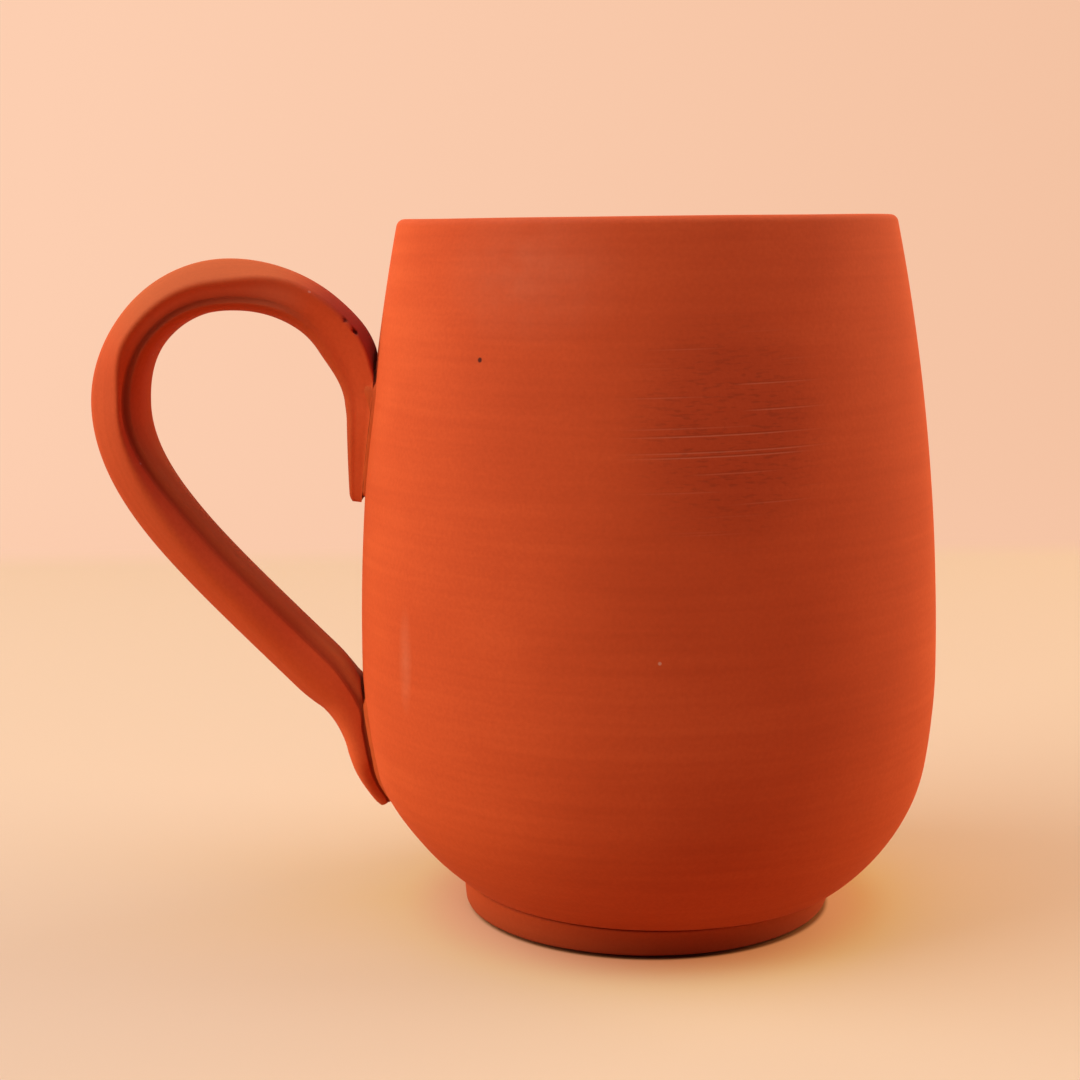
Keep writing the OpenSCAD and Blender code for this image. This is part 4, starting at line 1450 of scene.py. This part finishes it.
def peach_paper():
    """Matte paper of the sweep: pale to the eye, and darker for the light that it throws back at the cup."""
    made = empty_material("peach_paper")
    tree = made.node_tree
    seen = seen_by_eye(tree)
    place = add(tree, "ShaderNodeTexCoord").outputs["Object"]
    at = add(tree, "ShaderNodeSeparateXYZ", {0: place}).outputs
    out = add(tree, "ShaderNodeVectorMath", {0: place}, operation="LENGTH").outputs["Value"]
    eased = []
    for way, (start, end) in ((out, UNDER_R), (out, RED_GLOW_R), (out, EVEN_FROM_R), (at["Y"], WALL_FROM_Y)):
        span = {0: way, 1: start * MM, 2: end * MM}
        eased.append(add(tree, "ShaderNodeMapRange", span, interpolation_type="SMOOTHSTEP").outputs[0])
    under, clear, even, far = eased
    aside = {0: at["X"], 1: -WALL_HALF_W * MM, 2: WALL_HALF_W * MM}
    aside = add(tree, "ShaderNodeMapRange", aside).outputs[0]
    level = {0: aside, 6: linear(WALL_LEFT), 7: linear(WALL_RIGHT)}
    level = add(tree, "ShaderNodeMix", level, data_type="RGBA").outputs[2]
    # The glow is painted light: redder beside the foot, as if thrown back by the red clay, and warm further
    # out.
    glow = {0: clear, 6: linear(PAPER_RED_GLOW), 7: linear(PAPER_GLOW)}
    glow = add(tree, "ShaderNodeMix", glow, data_type="RGBA").outputs[2]
    paper = linear(PAPER)
    for share, glow_there, paper_there in (
        # Under the bevel the eye sees warm brown paper and no glow: a painted warm shade.
        (under, linear(NO_LIGHT), linear(PAPER_UNDER)),
        (even, linear(FLOOR_FAR), linear(NO_LIGHT)),
        (far, level, linear(NO_LIGHT)),
    ):
        glow = {0: share, 6: glow, 7: glow_there}
        glow = add(tree, "ShaderNodeMix", glow, data_type="RGBA").outputs[2]
        paper = {0: share, 6: paper, 7: paper_there}
        paper = add(tree, "ShaderNodeMix", paper, data_type="RGBA").outputs[2]
    paper = {0: seen, 6: linear(PAPER_BOUNCE), 7: paper}
    paper = add(tree, "ShaderNodeMix", paper, data_type="RGBA").outputs[2]
    matte = add(tree, "ShaderNodeBsdfDiffuse", {"Color": paper})
    shown = add(tree, "ShaderNodeEmission", {"Color": glow, "Strength": seen})
    both = add(tree, "ShaderNodeAddShader", {0: matte.outputs[0], 1: shown.outputs[0]})
    add(tree, "ShaderNodeOutputMaterial", {"Surface": both.outputs[0]})
    return made


PEACH = peach_paper()
print("material:", PEACH.name, "with", len(PEACH.node_tree.nodes), "nodes")

# %% Sweep
SWEEP_HALF_W = 1500.0
SWEEP_FRONT = -1200.0
SWEEP_BACK = 620.0
SWEEP_TOP = 1300.0
COVE_R = 160.0
COVE_STEP = 6.0
cove = arc((SWEEP_BACK - COVE_R, COVE_R), COVE_R, -math.pi / 2, 0, COVE_STEP)
sweep_line = np.vstack([[(SWEEP_FRONT, 0.0)], cove, [(SWEEP_BACK, SWEEP_TOP)]])
sweep_points = [(x * MM, y * MM, z * MM) for x in (-SWEEP_HALF_W, SWEEP_HALF_W) for y, z in sweep_line]
line_n = len(sweep_line)
sweep_faces = [(line_n + i, line_n + i + 1, i + 1, i) for i in range(line_n - 1)]
sweep_mesh = bpy.data.meshes.new("sweep")
sweep_mesh.from_pydata(sweep_points, [], sweep_faces)
sweep_mesh.shade_smooth()
sweep_mesh.materials.append(PEACH)
placed("sweep", sweep_mesh)
print("sweep with", len(sweep_faces), "faces")

# %% [markdown]
# ## Light
# A large soft lamp to the left and above gives the cup its bright side. A warm one on the right, a little
# behind the cup, lights the other edge, and a weak blue one overhead cools the top of the handle. The
# world adds a faint violet fill, and shows the wall's colour to the eye where the paper ends.

# %% Lamps and world
LAMP_AWAY = 1000.0
WORLD_COLOUR = (0.4, 0.25, 0.85)
WORLD_LEVEL = 0.12


def soft_lamp(name, bearing, height, size, watts, colour):
    """Square lamp aimed at the cup. Its bearing is in degrees to the right of the camera's side."""
    lamp = bpy.data.lights.new(name, "AREA")
    lamp.shape = "SQUARE"
    lamp.size = size * MM
    lamp.energy = watts
    lamp.color = colour
    made = placed(name, lamp)
    across, up = math.radians(bearing), math.radians(height)
    aim = Vector((0, 0, CUP_H / 2 * MM))
    way = Vector((math.sin(across) * math.cos(up), -math.cos(across) * math.cos(up), math.sin(up)))
    made.location = aim + way * LAMP_AWAY * MM
    made.rotation_euler = way.to_track_quat("Z", "Y").to_euler()
    return made


lamps = [
    soft_lamp("key_left", bearing=-79, height=36, size=900, watts=14.3, colour=(0.95, 0.91, 0.76)),
    soft_lamp("fill_right", bearing=112, height=16, size=1200, watts=24.8, colour=(1.0, 0.77, 0.42)),
    soft_lamp("top", bearing=0, height=88, size=900, watts=6.75, colour=(0.33, 0.49, 1.0)),
]
world = bpy.data.worlds.new("peach_room")
world.use_nodes = True
room = world.node_tree
room.nodes.clear()
around = add(room, "ShaderNodeBackground", {"Color": (*WORLD_COLOUR, 1.0), "Strength": WORLD_LEVEL})
backdrop = add(room, "ShaderNodeBackground", {"Color": linear(WALL_LEFT), "Strength": 1.0})
shown = {0: seen_by_eye(room), 1: around.outputs[0], 2: backdrop.outputs[0]}
shown = add(room, "ShaderNodeMixShader", shown)
add(room, "ShaderNodeOutputWorld", {"Surface": shown.outputs[0]})
bpy.context.scene.world = world
print("lamps:", [lamp.name for lamp in lamps])

# %% [markdown]
# ## Camera
# The camera's place, tilt and focal length were fitted to the rim, the side outlines, the foot and the
# handle of the real cup, so that the render shows the cup from the same place. The focal length is in
# pixels of the picture, and becomes a lens for the sensor's width.

# %% Camera
EYE = Vector((-15.46, -279.4, 99.0)) * MM
PITCH_DOWN = math.radians(9.18)
ROLL = math.radians(-0.63)
FOCAL_PX = 1948.6
IMAGE_PX = 1080
camera = bpy.data.cameras.new("camera")
camera.sensor_width = 36.0
camera.lens = camera.sensor_width * FOCAL_PX / IMAGE_PX
viewer = placed("camera", camera)
look = Matrix.Rotation(math.pi / 2 - PITCH_DOWN, 4, "X") @ Matrix.Rotation(ROLL, 4, "Z")
viewer.matrix_world = Matrix.Translation(EYE) @ look
bpy.context.scene.camera = viewer
bpy.context.scene.view_settings.view_transform = "Standard"
print(f"lens {camera.lens:.2f} mm")
